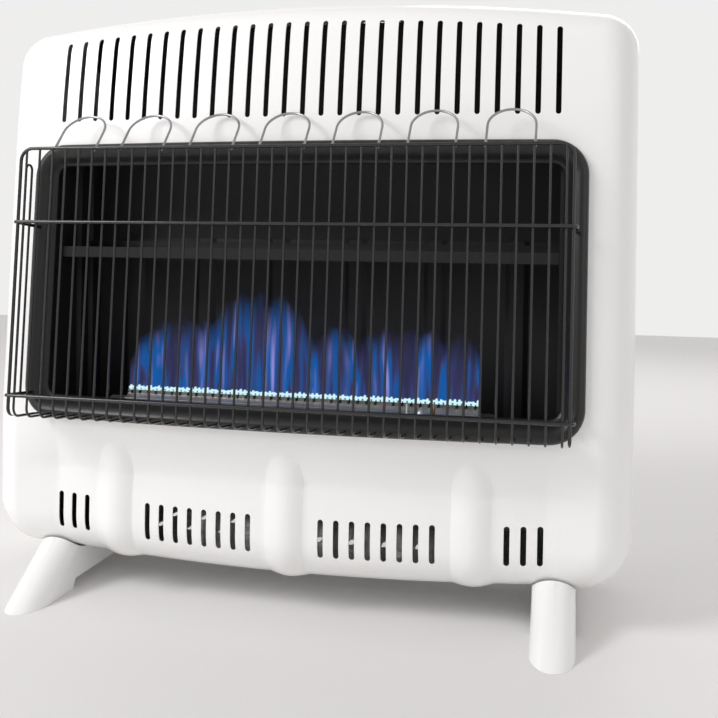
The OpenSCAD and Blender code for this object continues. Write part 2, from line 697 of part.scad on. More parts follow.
// The control tray is let into the top; its walls reach the underside of the cabinet's top.
tray_z = overall_h - tray_drop;
knob_x = tray_x - tray_w / 4 + sheet_t;
button_x = tray_x + tray_w / 4 + sheet_t;
module control_tray() {
  color(black) difference() {
    intersection() {
      union() {
        translate([tray_x - tray_w / 2 - sheet_t, tray_y - tray_d / 2 - sheet_t, tray_z - sheet_t])
          cube([tray_w + 2 * sheet_t, tray_d + 2 * sheet_t, tray_drop]);
        difference() {
          translate([tray_x - tray_w / 2 - lap, tray_y - tray_d / 2, tray_z + knob_h])
            cube([tray_w + 2 * lap, tray_d, tray_drop]);
          outline_prism(2 * sheet_t + seat, y_seam, y_back);
        }
      }
      outline_prism(sheet_t + seat, y_seam, y_back);
    }
    translate([tray_x - tray_w / 2, tray_y - tray_d / 2, tray_z]) cube([tray_w, tray_d, tray_drop + cut]);
    translate([knob_x, tray_y, tray_z - sheet_t - cut])
      cylinder(r = bonnet_r, h = sheet_t + 2 * cut, $fn = fn_big);
    translate([button_x, tray_y, tray_z - sheet_t - cut])
      cylinder(r = ignitor_r, h = sheet_t + 2 * cut, $fn = fn_big);
    tray_screw_holes(screw_r + clear / 2);
  }
}

// Firebox and its partitions
part_rib = 5;
rib_shares = [0.5, 0.76, 1.3, 1.62];
rib_top = 8;
rib_base = 14;
rear_y = pan_y1 - sheet_t;
// The firebox front leans with the panel above the foot of the opening.
function fire_front(z) = y_fire + max(0, z - open_z) * tan(lean_a);
// A rib of the partition in plan: how far it stands out and how far along it is
part_rib_line = [[0, 0], [part_rib, (rib_base - rib_top) / 2], [part_rib, (rib_base + rib_top) / 2],
  [0, rib_base]];
// The right partition's folded line in plan
part_line = concat(
  [[part_x, y_fire]],
  [for (s = rib_shares, q = part_rib_line)
    [part_x + q[0], mix(y_fire, y_fire_back, s) - rib_base / 2 + q[1]]],
  [[part_x, rear_y], [part_x + part_flange, rear_y]]);
part_low = low_at(part_x + part_flange) + pan_lift + sheet_t + seat;
part_foot_y = y_face + panel_crown + bottom_roll_r;
feed_y = y_face + burner_set;
burner_z = port_z - port_h - burner_r;
module partition() {
  difference() {
    union() {
      intersection() {
        fold_up(part_line, sheet_t, part_low, z_fire_top);
        translate([part_x - sheet_t - cut, 0, 0]) rotate([90, 0, 90])
          linear_extrude(sheet_t + part_flange + 2 * cut)
            polygon([[part_foot_y, part_low - cut], [y_plate, part_low - cut], [y_plate, z_fire_top + cut],
              [fire_front(z_fire_top + cut), z_fire_top + cut], [y_fire, open_z],
              [y_fire, z_low + 2 * bottom_roll_r]]);
      }
      translate([part_x - sheet_t, y_fire, open_z]) rotate([-lean_a, 0, 0])
        cube([part_flange, sheet_t, (z_fire_top - open_z) / cos(lean_a)]);
    }
    for (z = back_screw_zs) translate([back_screw_x, pan_y1 + cut, z]) rotate([90, 0, 0])
      cylinder(r = screw_r + clear / 2, h = sheet_t + 2 * cut, $fn = fn_small);
  }
}
module partition_left() {
  color(black) mirror([1, 0, 0]) partition();
}
module line_hole(y, z, r) {
  translate([part_x - sheet_t - cut, y, z]) rotate([0, 90, 0])
    cylinder(r = r, h = sheet_t + 2 * cut, $fn = fn_big);
}
module partition_right() {
  color(black) difference() {
    partition();
    line_hole(feed_y, burner_z, holder_r + seat);
    for (i = [0:2]) line_hole(line_ys[i], line_zs[i], line_ds[i] / 2 + clear);
  }
}
inner_x = part_x - sheet_t - seat;
floor_slots = 13;
floor_slot_y = mix(feed_y, y_fire_back, 0.55);
floor_lip = 10;
module firebox_floor() {
  color(black) difference() {
    fold_across([[y_fire, fire_floor_z + floor_lip], [y_fire, fire_floor_z],
      [y_fire_back - sheet_t - back_rib_d - seat, fire_floor_z]], sheet_t, -inner_x, inner_x);
    for (i = [0:floor_slots - 1]) if (i != (floor_slots - 1) / 2)
      translate([(i - (floor_slots - 1) / 2) * 2 * top_pitch, floor_slot_y, fire_floor_z - cut])
        long_slot(grille_w, rib_w, sheet_t + 2 * cut);
  }
}
back_ribs = 6;
back_rib_d = 4;
back_rib_line = [[-rib_base, 0], [-rib_top, -back_rib_d], [rib_top, -back_rib_d], [rib_base, 0]];
module firebox_back() {
  step = 2 * inner_x / back_ribs;
  line = concat([[-inner_x, y_fire_back]],
    [for (i = [0:back_ribs - 1], q = back_rib_line)
      [(i - (back_ribs - 1) / 2) * step + q[0], y_fire_back + q[1]]],
    [[inner_x, y_fire_back]]);
  color(black) translate([0, -sheet_t, 0])
    fold_up(line, sheet_t, fire_floor_z - floor_lip, hood_back_z);
}
hood_back_z = hood_z + part_flange;
hood_lip = 8;
hood_y = fire_front(hood_z) + sheet_t + clear;
module firebox_hood() {
  hood_rear = y_fire_back - sheet_t - flue_gap;
  color(black) fold_across([[hood_y, hood_z - hood_flange], [hood_y, hood_z], [hood_rear, hood_z],
    [hood_rear, hood_z + hood_lip]], -sheet_t, -inner_x, inner_x);
}
baffle_knee = 56;
baffle_top_z = top_at(part_x) - 3 * sheet_t;
baffle_knee_z = baffle_top_z - baffle_knee;
module upper_baffle() {
  color(black) fold_across([[y_fire_back, hood_back_z - floor_lip], [y_fire_back, baffle_knee_z],
    [y_seam - lap - part_flange, baffle_top_z]], -sheet_t, -inner_x, inner_x);
}
shield_x = ridge_pitch - rib_w;
shield_y = y_fire_back + sheet_t + seat;
shield_d = 6;
module heat_shield() {
  color(zinc) fold_up([[shield_x, shield_y], [shield_x, shield_y + shield_d], [inner_x, shield_y + shield_d],
    [inner_x, shield_y]], sheet_t, z_fire_top, baffle_knee_z - sheet_t);
}

// Burner: a tube with a flared mouth, a toothed port strip on it and two cradles under it
burner_shift = -6;
burner_x0 = burner_shift - burner_l / 2;
burner_x1 = burner_shift + burner_l / 2;
throat_r = 9;
throat_l = 14;
mouth_l = 12;
mouth_r = 15;
strip_half = port_w / 2;
strip_x = burner_l / 2 - 2 * mouth_r + throat_r + 1.5 * sheet_t;
strip_base = 2.5 * strip_half;
port_gap = 2 * strip_x / ports_n;
tooth_h = port_h / 2;
port_slot = 0.3 * port_gap;
module burner_tube() {
  color(steel) difference() {
    translate([burner_x0, feed_y, burner_z]) rotate([0, 90, 0]) rotate_extrude($fn = fn_big)
      polygon([[0, 0], [burner_r - sheet_t, 0], [burner_r, sheet_t], [burner_r, burner_l],
        [throat_r, burner_l + throat_l], [mouth_r, burner_l + throat_l + mouth_l],
        [mouth_r - sheet_t, burner_l + throat_l + mouth_l], [throat_r - sheet_t, burner_l + throat_l],
        [burner_r - sheet_t, burner_l - sheet_t], [burner_r - sheet_t, sheet_t], [0, sheet_t]]);
    translate([-strip_x, feed_y - strip_half / 2, burner_z]) cube([2 * strip_x, strip_half, burner_r + cut]);
  }
}
module port_strip() {
  color(zinc) translate([0, feed_y, burner_z]) difference() {
    translate([-strip_x, 0, 0]) rotate([90, 0, 90]) linear_extrude(2 * strip_x)
      polygon([[-strip_base, burner_r - strip_half], [strip_base, burner_r - strip_half],
        [strip_base, burner_r], [strip_half, burner_r + port_h - tooth_h],
        [strip_half, burner_r + port_h], [-strip_half, burner_r + port_h],
        [-strip_half, burner_r + port_h - tooth_h], [-strip_base, burner_r]]);
    translate([-strip_x - cut, 0, 0]) rotate([0, 90, 0])
      cylinder(r = burner_r + seat, h = 2 * strip_x + 2 * cut, $fn = fn_big);
    translate([sheet_t - strip_x, -strip_half / 2, burner_r - cut])
      cube([2 * strip_x - 2 * sheet_t, strip_half, port_h + cut - sheet_t]);
    for (i = [0:ports_n - 1])
      translate([(i - (ports_n - 1) / 2) * port_gap - port_slot / 2, -strip_base,
        burner_r + port_h - tooth_h]) cube([port_slot, 2 * strip_base, tooth_h + cut]);
  }
}
floor_top = fire_floor_z + sheet_t + seat;
cradle_half = 13;
cradle_foot = 12;
cradle_shares = [-0.42, 0.4];
cradle_xs = [for (s = cradle_shares) s * burner_l];
module burner_brackets() {
  color(zinc) for (x = cradle_xs) translate([x, feed_y, 0]) {
    difference() {
      translate([0, -cradle_half, floor_top])
        cube([sheet_t, 2 * cradle_half, burner_z - burner_r / 2 - floor_top]);
      translate([-cut, 0, burner_z]) rotate([0, 90, 0])
        cylinder(r = burner_r + seat, h = 2 * cut + sheet_t, $fn = fn_big);
    }
    translate([0, -cradle_half, floor_top]) cube([cradle_foot, 2 * cradle_half, sheet_t]);
  }
}

// The injector stands in front of the burner's mouth, in a holder on the right partition.
holder_r = 9;
holder_rim = 12;
holder_t = 3;
holder_out = 16;
holder_in = 10;
injector_r = 5;
injector_l = 26;
injector_bore = 1.1;
module injector_holder() {
  color(zinc) translate([part_x, feed_y, burner_z]) rotate([0, 90, 0]) difference() {
    union() {
      translate([0, 0, -holder_in - sheet_t])
        cylinder(r = holder_r, h = holder_in + holder_out + sheet_t, $fn = fn_big);
      translate([0, 0, -sheet_t - seat - holder_t]) cylinder(r = holder_rim, h = holder_t, $fn = 6);
    }
    translate([0, 0, -holder_in - sheet_t - cut])
      cylinder(r = injector_r + seat / 2, h = holder_in + holder_out + sheet_t + 2 * cut,
        $fn = fn_big);
  }
}
module injector() {
  color(brass) translate([part_x - injector_l, feed_y, burner_z]) rotate([0, 90, 0])
    rotate_extrude($fn = fn_big)
      polygon([[injector_bore, 0], [injector_r / 2, 0], [injector_r, injector_r],
        [injector_r, injector_l], [injector_r / 2, injector_l], [injector_r / 2, injector_r],
        [injector_bore, injector_r / 2]]);
}

// Pilot: a bracket on the firebox floor stands behind the pilot burner, the thermocouple
// and the spark electrode.
pilot_x = 150;
pilot_step = 15;
pilot_wall_y = y_fire + holder_t;
pilot_top = burner_z + port_h;
pilot_w = 3.2 * pilot_step;
pilot_rear = pilot_wall_y + sheet_t + seat;
pilot_r = 4.5;
pilot_l = 22;
couple_r = 2.5;
couple_l = 34;
couple_d = 2.4;
ceramic_r = 3;
ceramic_l = 22;
electrode_r = 1;
electrode_l = 12;
lead_d = 3;
// The three thin lines to the pilot, front one first: thermocouple, pilot gas and ignitor lead
line_ds = [couple_d, pilot_d, lead_d];
line_ys = [pilot_rear + couple_r, pilot_rear + pilot_r, pilot_rear + ceramic_r];
line_gap = 8;
line_zs = [for (i = [0:2]) floor_top + sheet_t + 3.2 * line_gap - i * line_gap];
end_z = line_zs[0] + line_gap;
module pilot_bracket() {
  color(zinc) translate([pilot_x - pilot_w / 2, 0, 0]) rotate([90, 0, 90]) linear_extrude(pilot_w)
    polygon(thick([[pilot_wall_y + cradle_foot, floor_top], [pilot_wall_y, floor_top],
      [pilot_wall_y, pilot_top]], -sheet_t));
}
module pilot_burner() {
  color(zinc) translate([pilot_x, line_ys[1], end_z]) difference() {
    union() {
      cylinder(r = pilot_r, h = pilot_l, $fn = fn_big);
      translate([0, 0, pilot_l]) cylinder(r1 = pilot_r, r2 = pilot_r / 2, h = pilot_r, $fn = fn_big);
    }
    translate([0, 0, pilot_l / 2]) cylinder(r = pilot_r / 3, h = pilot_l, $fn = fn_big);
    translate([-pilot_r - cut, -pilot_r / 4, pilot_l - pilot_r])
      cube([2 * pilot_r + 2 * cut, pilot_r / 2, pilot_r / 2]);
  }
}
module thermocouple() {
  color(copper) {
    translate([pilot_x + pilot_step, line_ys[0], end_z]) cylinder(r = couple_r, h = couple_l, $fn = fn_big);
    tube([[valve_x(1), line_drops[0], valve_z0 - seat], [valve_x(1), line_drops[0], line_z],
      [run_x, line_drops[0], line_z], [run_x, line_drops[0], line_zs[0]], [run_x, line_ys[0], line_zs[0]],
      [pilot_x + pilot_step, line_ys[0], line_zs[0]],
      [pilot_x + pilot_step, line_ys[0], end_z]], couple_d, line_bend);
  }
}
module spark_electrode() {
  color(white) translate([pilot_x - pilot_step, line_ys[2], end_z]) {
    cylinder(r = ceramic_r, h = ceramic_l, $fn = fn_big);
    translate([0, 0, ceramic_l]) cylinder(r = electrode_r, h = electrode_l, $fn = fn_small);
  }
}

// Bent tubes: a path with rounded corners, swept by a small polygon
bend_n = 3;
tube_n = 8;
function bend_at(a, p, b, r) = let (
    u = unit(a - p), v = unit(b - p), c = u * v,
    t = r * sqrt((1 + c) / (1 - c)),
    m = p + unit(u + v) * r / sqrt((1 - c) / 2),
    f = 180 - acos(c))
  [for (i = [0:bend_n]) let (s = i / bend_n)
    m + ((p + u * t - m) * sin((1 - s) * f) + (p + v * t - m) * sin(s * f)) / sin(f)];
function round_path(p, r) = concat([p[0]],
  [for (i = [1:len(p) - 2]) each bend_at(p[i - 1], p[i], p[i + 1], r)], [p[len(p) - 1]]);
function headings(p) = let (n = len(p))
  [for (i = [0:n - 1]) unit(p[min(i + 1, n - 1)] - p[max(i - 1, 0)])];
function across(d) = abs(d[0]) > abs(d[2]) ? unit(cross(d, [0, 0, 1])) : unit(cross(d, [1, 0, 0]));
function sides_of(t, s, i = 0) = i == len(t) ? [] :
  let (w = unit(s - t[i] * (s * t[i]))) concat([w], sides_of(t, w, i + 1));
module swept(p, r, n) {
  t = headings(p);
  s = sides_of(t, across(t[0]));
  m = len(p);
  pts = [for (i = [0:m - 1], k = [0:n - 1]) let (a = 360 * k / n)
    p[i] + r * (cos(a) * s[i] + sin(a) * cross(t[i], s[i]))];
  walls = [for (i = [0:m - 2], k = [0:n - 1], h = [0, 1]) let (a = i * n + k, b = i * n + (k + 1) % n)
    h == 0 ? [a, a + n, b] : [b, a + n, b + n]];
  ends = [[for (k = [0:n - 1]) k], [for (k = [0:n - 1]) m * n - 1 - k]];
  polyhedron(points = pts, faces = concat(walls, ends), convexity = 8);
}
module tube(path, d, bend) {
  swept(round_path(path, bend), d / 2, tube_n);
}
// A helical spring between z0 and z1
spring_turns = 6;
spring_n = 8;
module helix(x, y, z0, z1, r, d) {
  steps = spring_turns * spring_n;
  swept([for (i = [0:steps]) let (a = 360 * i / spring_n)
    [x + r * cos(a), y + r * sin(a), mix(z0 + d / 2, z1 - d / 2, i / steps)]], d / 2, spring_n - 2);
}

// Gas valve: it hangs from the tray by its bonnet, and its control shaft comes up through a bush.
valve_w = 44;
valve_h = 52;
bonnet_h = 17;
bonnet_wide_r = 11;
bonnet_r = 9.8;
nut_h = 4.5;
bush_r = 7;
bush_rim = 2;
shaft_r = 3;
run_fit = 0.05;
collar_r = 4.5;
collar_h = 3;
chamber_r = 5.5;
chamber_l = 20;
spring_l = 15;
knob_spring_r = 3.4;
spring_d = 0.9;
inlet_boss_r = 9;
outlet_boss_r = 8;
boss_l = 8;
valve_z1 = tray_z - sheet_t - bonnet_h;
valve_z0 = valve_z1 - valve_h;
valve_zc = valve_z0 + valve_h / 4;
valve_chamfer = 8;
chamber_z = valve_z1 - chamber_l;
supply_y = tray_y + 0.3 * valve_w;
nut_w = 4;
function valve_x(i) = knob_x + (i - 1) * nut_w;
module valve_plan(w) {
  h = w / 2;
  k = valve_chamfer;
  polygon([[-h, k - h], [k - h, -h], [h - k, -h], [h, k - h],
    [h, h - k], [h - k, h], [k - h, h], [-h, h - k]]);
}
module gas_valve() {
  color(zinc) difference() {
    union() {
      translate([knob_x, tray_y, valve_z0]) linear_extrude(valve_h) valve_plan(valve_w);
      translate([knob_x + valve_w / 2 - cut, supply_y, valve_zc]) rotate([0, 90, 0])
        cylinder(r = inlet_boss_r, h = boss_l + cut, $fn = fn_big);
      translate([knob_x, tray_y - valve_w / 2 + cut, valve_zc]) rotate([90, 0, 0])
        cylinder(r = outlet_boss_r, h = boss_l / 2 + cut, $fn = fn_big);
      translate([knob_x - valve_w / 2 + cut, tray_y, valve_z0 + valve_h / 2]) rotate([0, -90, 0])
        cylinder(r = 2 * inlet_boss_r, h = boss_l + cut, $fn = fn_big);
    }
    translate([knob_x, tray_y, chamber_z]) cylinder(r = chamber_r, h = chamber_l + cut, $fn = fn_big);
  }
}
module valve_bonnet() {
  color(brass) translate([knob_x, tray_y, valve_z1]) difference() {
    union() {
      cylinder(r = bonnet_wide_r, h = bonnet_h - seat, $fn = fn_big);
      cylinder(r = bonnet_r - seat, h = bonnet_h + sheet_t + nut_h, $fn = fn_big);
    }
    translate([0, 0, -cut])
      cylinder(r = bush_r + run_fit, h = bonnet_h + sheet_t + nut_h + 2 * cut, $fn = fn_big);
  }
}
module ring_nut(x, r_in, h) {
  translate([x, tray_y, tray_z + seat]) difference() {
    cylinder(r = 1.35 * r_in, h = h, $fn = 6);
    translate([0, 0, -cut]) cylinder(r = r_in, h = h + 2 * cut, $fn = fn_big);
  }
}
module bonnet_nut() {
  color(zinc) ring_nut(knob_x, bonnet_r - seat / 2, nut_h - 2 * seat);
}
bush_z0 = valve_z1 + bush_rim;
bush_z1 = tray_z + nut_h + clear;
module drive_bush() {
  color(brass) translate([knob_x, tray_y, bush_z0]) difference() {
    cylinder(r = bush_r, h = bush_z1 - bush_z0, $fn = fn_big);
    translate([0, 0, -cut]) cylinder(r = shaft_r + run_fit, h = bush_z1 - bush_z0 + 2 * cut, $fn = fn_big);
  }
}
knob_base = bush_z1 + knob_travel - bush_rim;
knob_cavity = knob_travel + clear;
knob_wall = 3;
hub_r = 6;
hub_z = bush_z1 + knob_travel + clear;
pointer_h = 1;
shaft_top = hub_z + knob_h / 2;
shaft_low = chamber_z + spring_l + pointer_h;
module knob_spindle() {
  color(steel) translate([knob_x, tray_y, 0]) {
    translate([0, 0, shaft_low]) cylinder(r = shaft_r, h = shaft_top - shaft_low, $fn = fn_big);
    translate([0, 0, shaft_low]) cylinder(r = collar_r, h = collar_h, $fn = fn_big);
  }
}
// The knob: a skirt, a fluted grip and a raised pointer
skirt_w = 4;
grip_r = knob_d / 2 - skirt_w;
skirt_h = 7;
flutes_n = 18;
flute_r = 1.6;
pointer_w = 3;
module control_knob() {
  color(black) translate([knob_x, tray_y, knob_base]) difference() {
    union() {
      rotate_extrude($fn = fn_big) polygon([[0, 0], [knob_d / 2, 0], [knob_d / 2, skirt_h - pointer_h],
        [grip_r + pointer_h, skirt_h], [grip_r, skirt_h + pointer_h],
        [grip_r - pointer_h, knob_h - 2 * pointer_h], [grip_r - 2 * pointer_h, knob_h - pointer_h],
        [0, knob_h - pointer_h]]);
      translate([-pointer_w / 2, -grip_r + 2 * pointer_h, knob_h - pointer_h - cut])
        cube([pointer_w, grip_r, pointer_h + cut]);
    }
    for (i = [0:flutes_n - 1]) rotate([0, 0, (i + 0.5) * 360 / flutes_n])
      translate([grip_r + flute_r / 2, 0, skirt_h + pointer_h])
        cylinder(r = flute_r, h = knob_h, $fn = fn_small);
    translate([0, 0, -cut]) difference() {
      cylinder(r = grip_r - knob_wall, h = hub_z - knob_base + knob_cavity + cut - clear, $fn = fn_big);
      translate([0, 0, hub_z - knob_base + cut])
        cylinder(r = hub_r, h = knob_cavity + cut, $fn = fn_big);
    }
    translate([0, 0, -cut])
      cylinder(r = shaft_r + run_fit / 2, h = shaft_top - knob_base + cut + eps, $fn = fn_big);
  }
}
module knob_spring() {
  color(steel) helix(knob_x, tray_y, chamber_z + seat, shaft_low - seat, knob_spring_r, spring_d);
}
// A sheet bracket from the rear of a part at y0 to the back panel
module rear_bracket(x0, x1, y0, z0, z1) {
  fold_up([[x0, y0], [x1, y0], [x1, rear_y], [x1 + part_flange, rear_y]], sheet_t, z0, z1);
}
module valve_bracket() {
  color(zinc) rear_bracket(knob_x - valve_w / 4, knob_x + valve_w / 2, tray_y + valve_w / 2 + seat,
    valve_z0 + valve_chamfer, valve_z1 - valve_chamfer);
}

// Piezo ignitor in the tray
ignitor_r = 8.3;
ignitor_wide_r = 10.5;
ignitor_l = 42;
button_r = button_d / 2;
button_up = 17;
button_low = 13;
button_spring_l = 11;
ignitor_floor = 4;
module ignitor_body() {
  color(black) translate([button_x, tray_y, tray_z - sheet_t]) difference() {
    union() {
      translate([0, 0, -ignitor_l]) cylinder(r = ignitor_wide_r, h = ignitor_l - seat, $fn = fn_big);
      translate([0, 0, -sheet_t]) cylinder(r = ignitor_r - seat, h = 2 * sheet_t + nut_h, $fn = fn_big);
    }
    translate([0, 0, -button_low - button_spring_l - seat])
      cylinder(r = button_r + run_fit, h = button_low + button_spring_l + sheet_t + nut_h + cut,
        $fn = fn_big);
  }
}
module ignitor_nut() {
  color(black) ring_nut(button_x, ignitor_r - seat / 2, nut_h - 2 * seat);
}
module ignitor_button() {
  color(zinc) translate([button_x, tray_y, tray_z - sheet_t - button_low]) rotate_extrude($fn = fn_big)
    polygon([[0, 0], [button_r, 0], [button_r, button_low + button_up - pointer_h],
      [button_r - pointer_h, button_low + button_up], [0, button_low + button_up]]);
}
button_z0 = tray_z - sheet_t - button_low;
module ignitor_spring() {
  color(steel) helix(button_x, tray_y, button_z0 - button_spring_l, button_z0 - seat,
    button_r - 2 * spring_d, spring_d);
}

// Lines from the controls run down outside the right partition.
run_gap = 11;
run_x = part_x + part_flange + run_gap;
line_bend = 6;
feed_bend = 10;
feed_drop = shield_y + shield_d + sheet_t + feed_d / 2 + clear;
line_drops = [for (i = [0:2]) feed_drop + feed_d + (i + 0.5) * 1.2 * line_gap];
line_drop = 12;
line_z = valve_z0 - line_drop;
module ignitor_lead() {
  color(white) tube([[button_x, tray_y, tray_z - sheet_t - ignitor_l - seat], [button_x, tray_y, line_z],
    [button_x, line_drops[2], line_z - line_gap], [run_x, line_drops[2], line_z - line_gap],
    [run_x, line_drops[2], line_zs[2]], [run_x, line_ys[2], line_zs[2]],
    [pilot_x - pilot_step, line_ys[2], line_zs[2]],
    [pilot_x - pilot_step, line_ys[2], end_z - seat]], lead_d, line_bend);
}
module pilot_tube() {
  color(zinc) tube([[valve_x(-1), line_drops[1], valve_z0 - seat], [valve_x(-1), line_drops[1], line_z],
    [run_x, line_drops[1], line_z], [run_x, line_drops[1], line_zs[1]], [run_x, line_ys[1], line_zs[1]],
    [pilot_x, line_ys[1], line_zs[1]], [pilot_x, line_ys[1], end_z - seat]], pilot_d, line_bend);
}
feed_z = burner_z + feed_bend + feed_d;
module burner_feed() {
  outlet_y = tray_y - valve_w / 2 - boss_l / 2 - seat;
  color(zinc) tube([[knob_x, outlet_y, valve_zc], [knob_x, feed_drop, valve_zc],
    [run_x + feed_d, feed_drop, valve_zc], [run_x + feed_d, feed_drop, feed_z + feed_bend],
    [run_x + feed_d, feed_y, feed_z + feed_bend], [run_x + feed_d, feed_y, burner_z],
    [part_x + holder_out + seat, feed_y, burner_z]], feed_d, line_bend);
}

// Gas regulator low on the right, with the inlet port facing down
reg_r = 27;
reg_w = 30;
reg_cap_r = 18;
reg_cap_h = 8;
reg_boss_r = 12.5;
reg_boss_l = 16;
reg_lift = 64;
reg_z = z_low + reg_lift;
reg_low = reg_z - reg_r - reg_boss_l;
module regulator() {
  color(zinc) difference() {
    union() {
      translate([gas_x, supply_y + reg_w / 2, reg_z]) rotate([90, 0, 0]) rotate_extrude($fn = fn_big)
        polygon([[0, 0], [reg_r - sheet_t, 0], [reg_r, sheet_t], [reg_r, reg_w / 2], [reg_cap_r, reg_w],
          [reg_cap_r, reg_w + reg_cap_h - sheet_t], [reg_cap_r - sheet_t, reg_w + reg_cap_h],
          [0, reg_w + reg_cap_h]]);
      translate([gas_x, supply_y, reg_low])
        cylinder(r = reg_boss_r, h = reg_boss_l + reg_r / 2, $fn = fn_big);
      translate([gas_x, supply_y, reg_z + reg_r / 2])
        cylinder(r = reg_boss_r - sheet_t, h = reg_r / 2 + reg_boss_l / 2, $fn = fn_big);
    }
    translate([gas_x, supply_y, reg_low - cut]) cylinder(r = inlet_r, h = inlet_depth + cut, $fn = fn_big);
  }
}
module regulator_bracket() {
  color(zinc) rear_bracket(gas_x - reg_r / 2, gas_x + reg_r / 4, supply_y + reg_w / 2 + seat,
    reg_z - reg_r / 2, reg_z + reg_r / 2);
}
reg_top = reg_z + reg_r + reg_boss_l / 2;
module supply_tube() {
  color(zinc) tube([[knob_x + valve_w / 2 + boss_l + seat, supply_y, valve_zc], [gas_x, supply_y, valve_zc],
    [gas_x, supply_y, reg_top + seat]], supply_d, 1.5 * feed_bend);
}
module flare_nut(d) {
  difference() {
    cylinder(d = 1.7 * d, h = 1.3 * d, $fn = 6);
    translate([0, 0, -cut]) cylinder(d = d + seat, h = 1.3 * d + 2 * cut, $fn = fn_big);
  }
}
module tube_nuts() {
  color(brass) {
    translate([knob_x + valve_w / 2 + boss_l + seat, supply_y, valve_zc]) rotate([0, 90, 0])
      flare_nut(supply_d);
    translate([gas_x, supply_y, reg_top + seat]) flare_nut(supply_d);
    translate([part_x + holder_out + seat, feed_y, burner_z]) rotate([0, 90, 0])
      flare_nut(feed_d);
    translate([valve_x(-1), line_drops[1], valve_z0 - seat]) rotate([180, 0, 0]) flare_nut(pilot_d);
  }
}

// Thermostat bulb on the back panel, with its thin line to the valve
bulb_r = 4;
bulb_l = 80;
bulb_z = z_pan_slots + back_slot_l + 3 * bulb_r;
bulb_y = pan_y1 - bulb_r - sheet_t - seat;
bulb_line_d = 2;
clip_w = 10;
clip_shares = [0.2, 0.8];
module thermostat_bulb() {
  color(copper) {
    translate([shield_x, bulb_y, bulb_z]) rotate([0, 90, 0])
      cylinder(r = bulb_r, h = bulb_l, $fn = fn_big);
    tube([[shield_x + bulb_l - cut, bulb_y, bulb_z], [shield_x + bulb_l + line_bend * 2, bulb_y, bulb_z],
      [shield_x + bulb_l + line_bend * 2, bulb_y, line_z - line_gap], [valve_x(0), bulb_y, line_z - line_gap],
      [valve_x(0), tray_y + valve_w / 4, line_z - line_gap],
      [valve_x(0), tray_y + valve_w / 4, valve_z0 - seat]], bulb_line_d, line_bend);
  }
}
module bulb_clips() {
  color(zinc) for (s = clip_shares)
    translate([shield_x + s * bulb_l - clip_w / 2, bulb_y, bulb_z]) difference() {
    union() {
      rotate([0, 90, 0]) cylinder(r = bulb_r + sheet_t, h = clip_w, $fn = fn_big);
      translate([0, bulb_r + seat, 0]) cube([clip_w, sheet_t, 3 * bulb_r]);
    }
    translate([-cut, 0, 0]) rotate([0, 90, 0])
      cylinder(r = bulb_r + seat / 2, h = clip_w + 2 * cut, $fn = fn_big);
  }
}

// Feet: a rounded beam slopes down to the toe, with pads under the toe and the heel.
foot_slope = 35;
foot_fit = 2.4;
foot_roll_y = face_at(foot_x, z_low) + bottom_roll_r;
heel_y = y_back - 2 * back_inset;
y_toe = -overall_d / 2;
arch_step = foot_arch;
module foot_body() {
  intersection() {
    translate([-foot_w / 2, 0, 0]) rotate([90, 0, 90]) linear_extrude(foot_w)
      polygon([[y_toe, 0], [y_toe + toe_pad, 0], [y_toe + toe_pad + arch_step / 2, foot_arch],
        [heel_y - heel_pad - arch_step / 2, foot_arch], [heel_y - heel_pad, 0], [heel_y, 0],
        [heel_y, z_low + bottom_bow], [y_toe, z_low + bottom_bow + bottom_roll_r]]);
    translate([0, y_toe, 0]) rotate([foot_slope - 90, 0, 0]) linear_extrude(overall_d + overall_h) {
      translate([0, foot_w / 2]) circle(d = foot_w, $fn = fn_big);
      translate([-foot_w / 2, foot_w / 2]) square([foot_w, overall_d]);
    }
  }
}
module foot(side) {
  difference() {
    translate([side * foot_x, 0, 0]) foot_body();
    translate([0, y_back, 0]) rotate([90, 0, 0]) linear_extrude(y_back - foot_roll_y)
      polygon(concat(
        [for (i = [-2:2]) let (x = side * foot_x + i * foot_w / 3) [x, low_at(x) - seat]],
        [[side * foot_x + foot_w, overall_h], [side * foot_x - foot_w, overall_h]]));
    translate([side * foot_x - foot_w, foot_roll_y, low_at(foot_x - foot_w / 2) + bottom_roll_r])
      rotate([0, 90, 0]) cylinder(r = bottom_roll_r + foot_fit, h = 2 * foot_w, $fn = fn_big);
    foot_screw_holes(screw_r + clear / 2);
  }
}
module foot_left() {
  color(white) foot(-1);
}
module foot_right() {
  color(white) foot(1);
}

// Screws
screw_r = 2;
head_r = 4.2;
head_h = 2.4;
screw_l = 14;
foot_screw_shares = [0.2, 0.8];
panel_screw_shares = [0.5, 1.18];
foot_screw_x = foot_x - foot_w / 4;
foot_screw_ys = [for (s = foot_screw_shares) mix(y_seam, y_plate, s)];
panel_screw_xs = [for (s = panel_screw_shares, t = [-1, 1]) s * t * ridge_pitch];
panel_screw_y = y_seam - 1.5 * lap;
tray_screw_ys = [for (t = [-1, 1]) tray_y + t * tray_d / 4];
tray_screw_xs = [for (t = [-1, 1]) tray_x + t * (tray_w + lap + sheet_t) / 2];
module screw(l) {
  cylinder(r = screw_r, h = l, $fn = fn_small);
  rotate([180, 0, 0]) cylinder(r1 = head_r, r2 = 0.7 * head_r, h = head_h, $fn = fn_small);
}
module foot_screw_holes(r) {
  for (s = [-1, 1], y = foot_screw_ys)
    translate([s * foot_screw_x, y, low_at(foot_screw_x) - screw_l])
      cylinder(r = r, h = 2 * screw_l, $fn = fn_small);
}
module panel_screw_holes(r) {
  for (x = panel_screw_xs)
    translate([x, panel_screw_y, low_at(x) - screw_l]) cylinder(r = r, h = 2 * screw_l, $fn = fn_small);
}
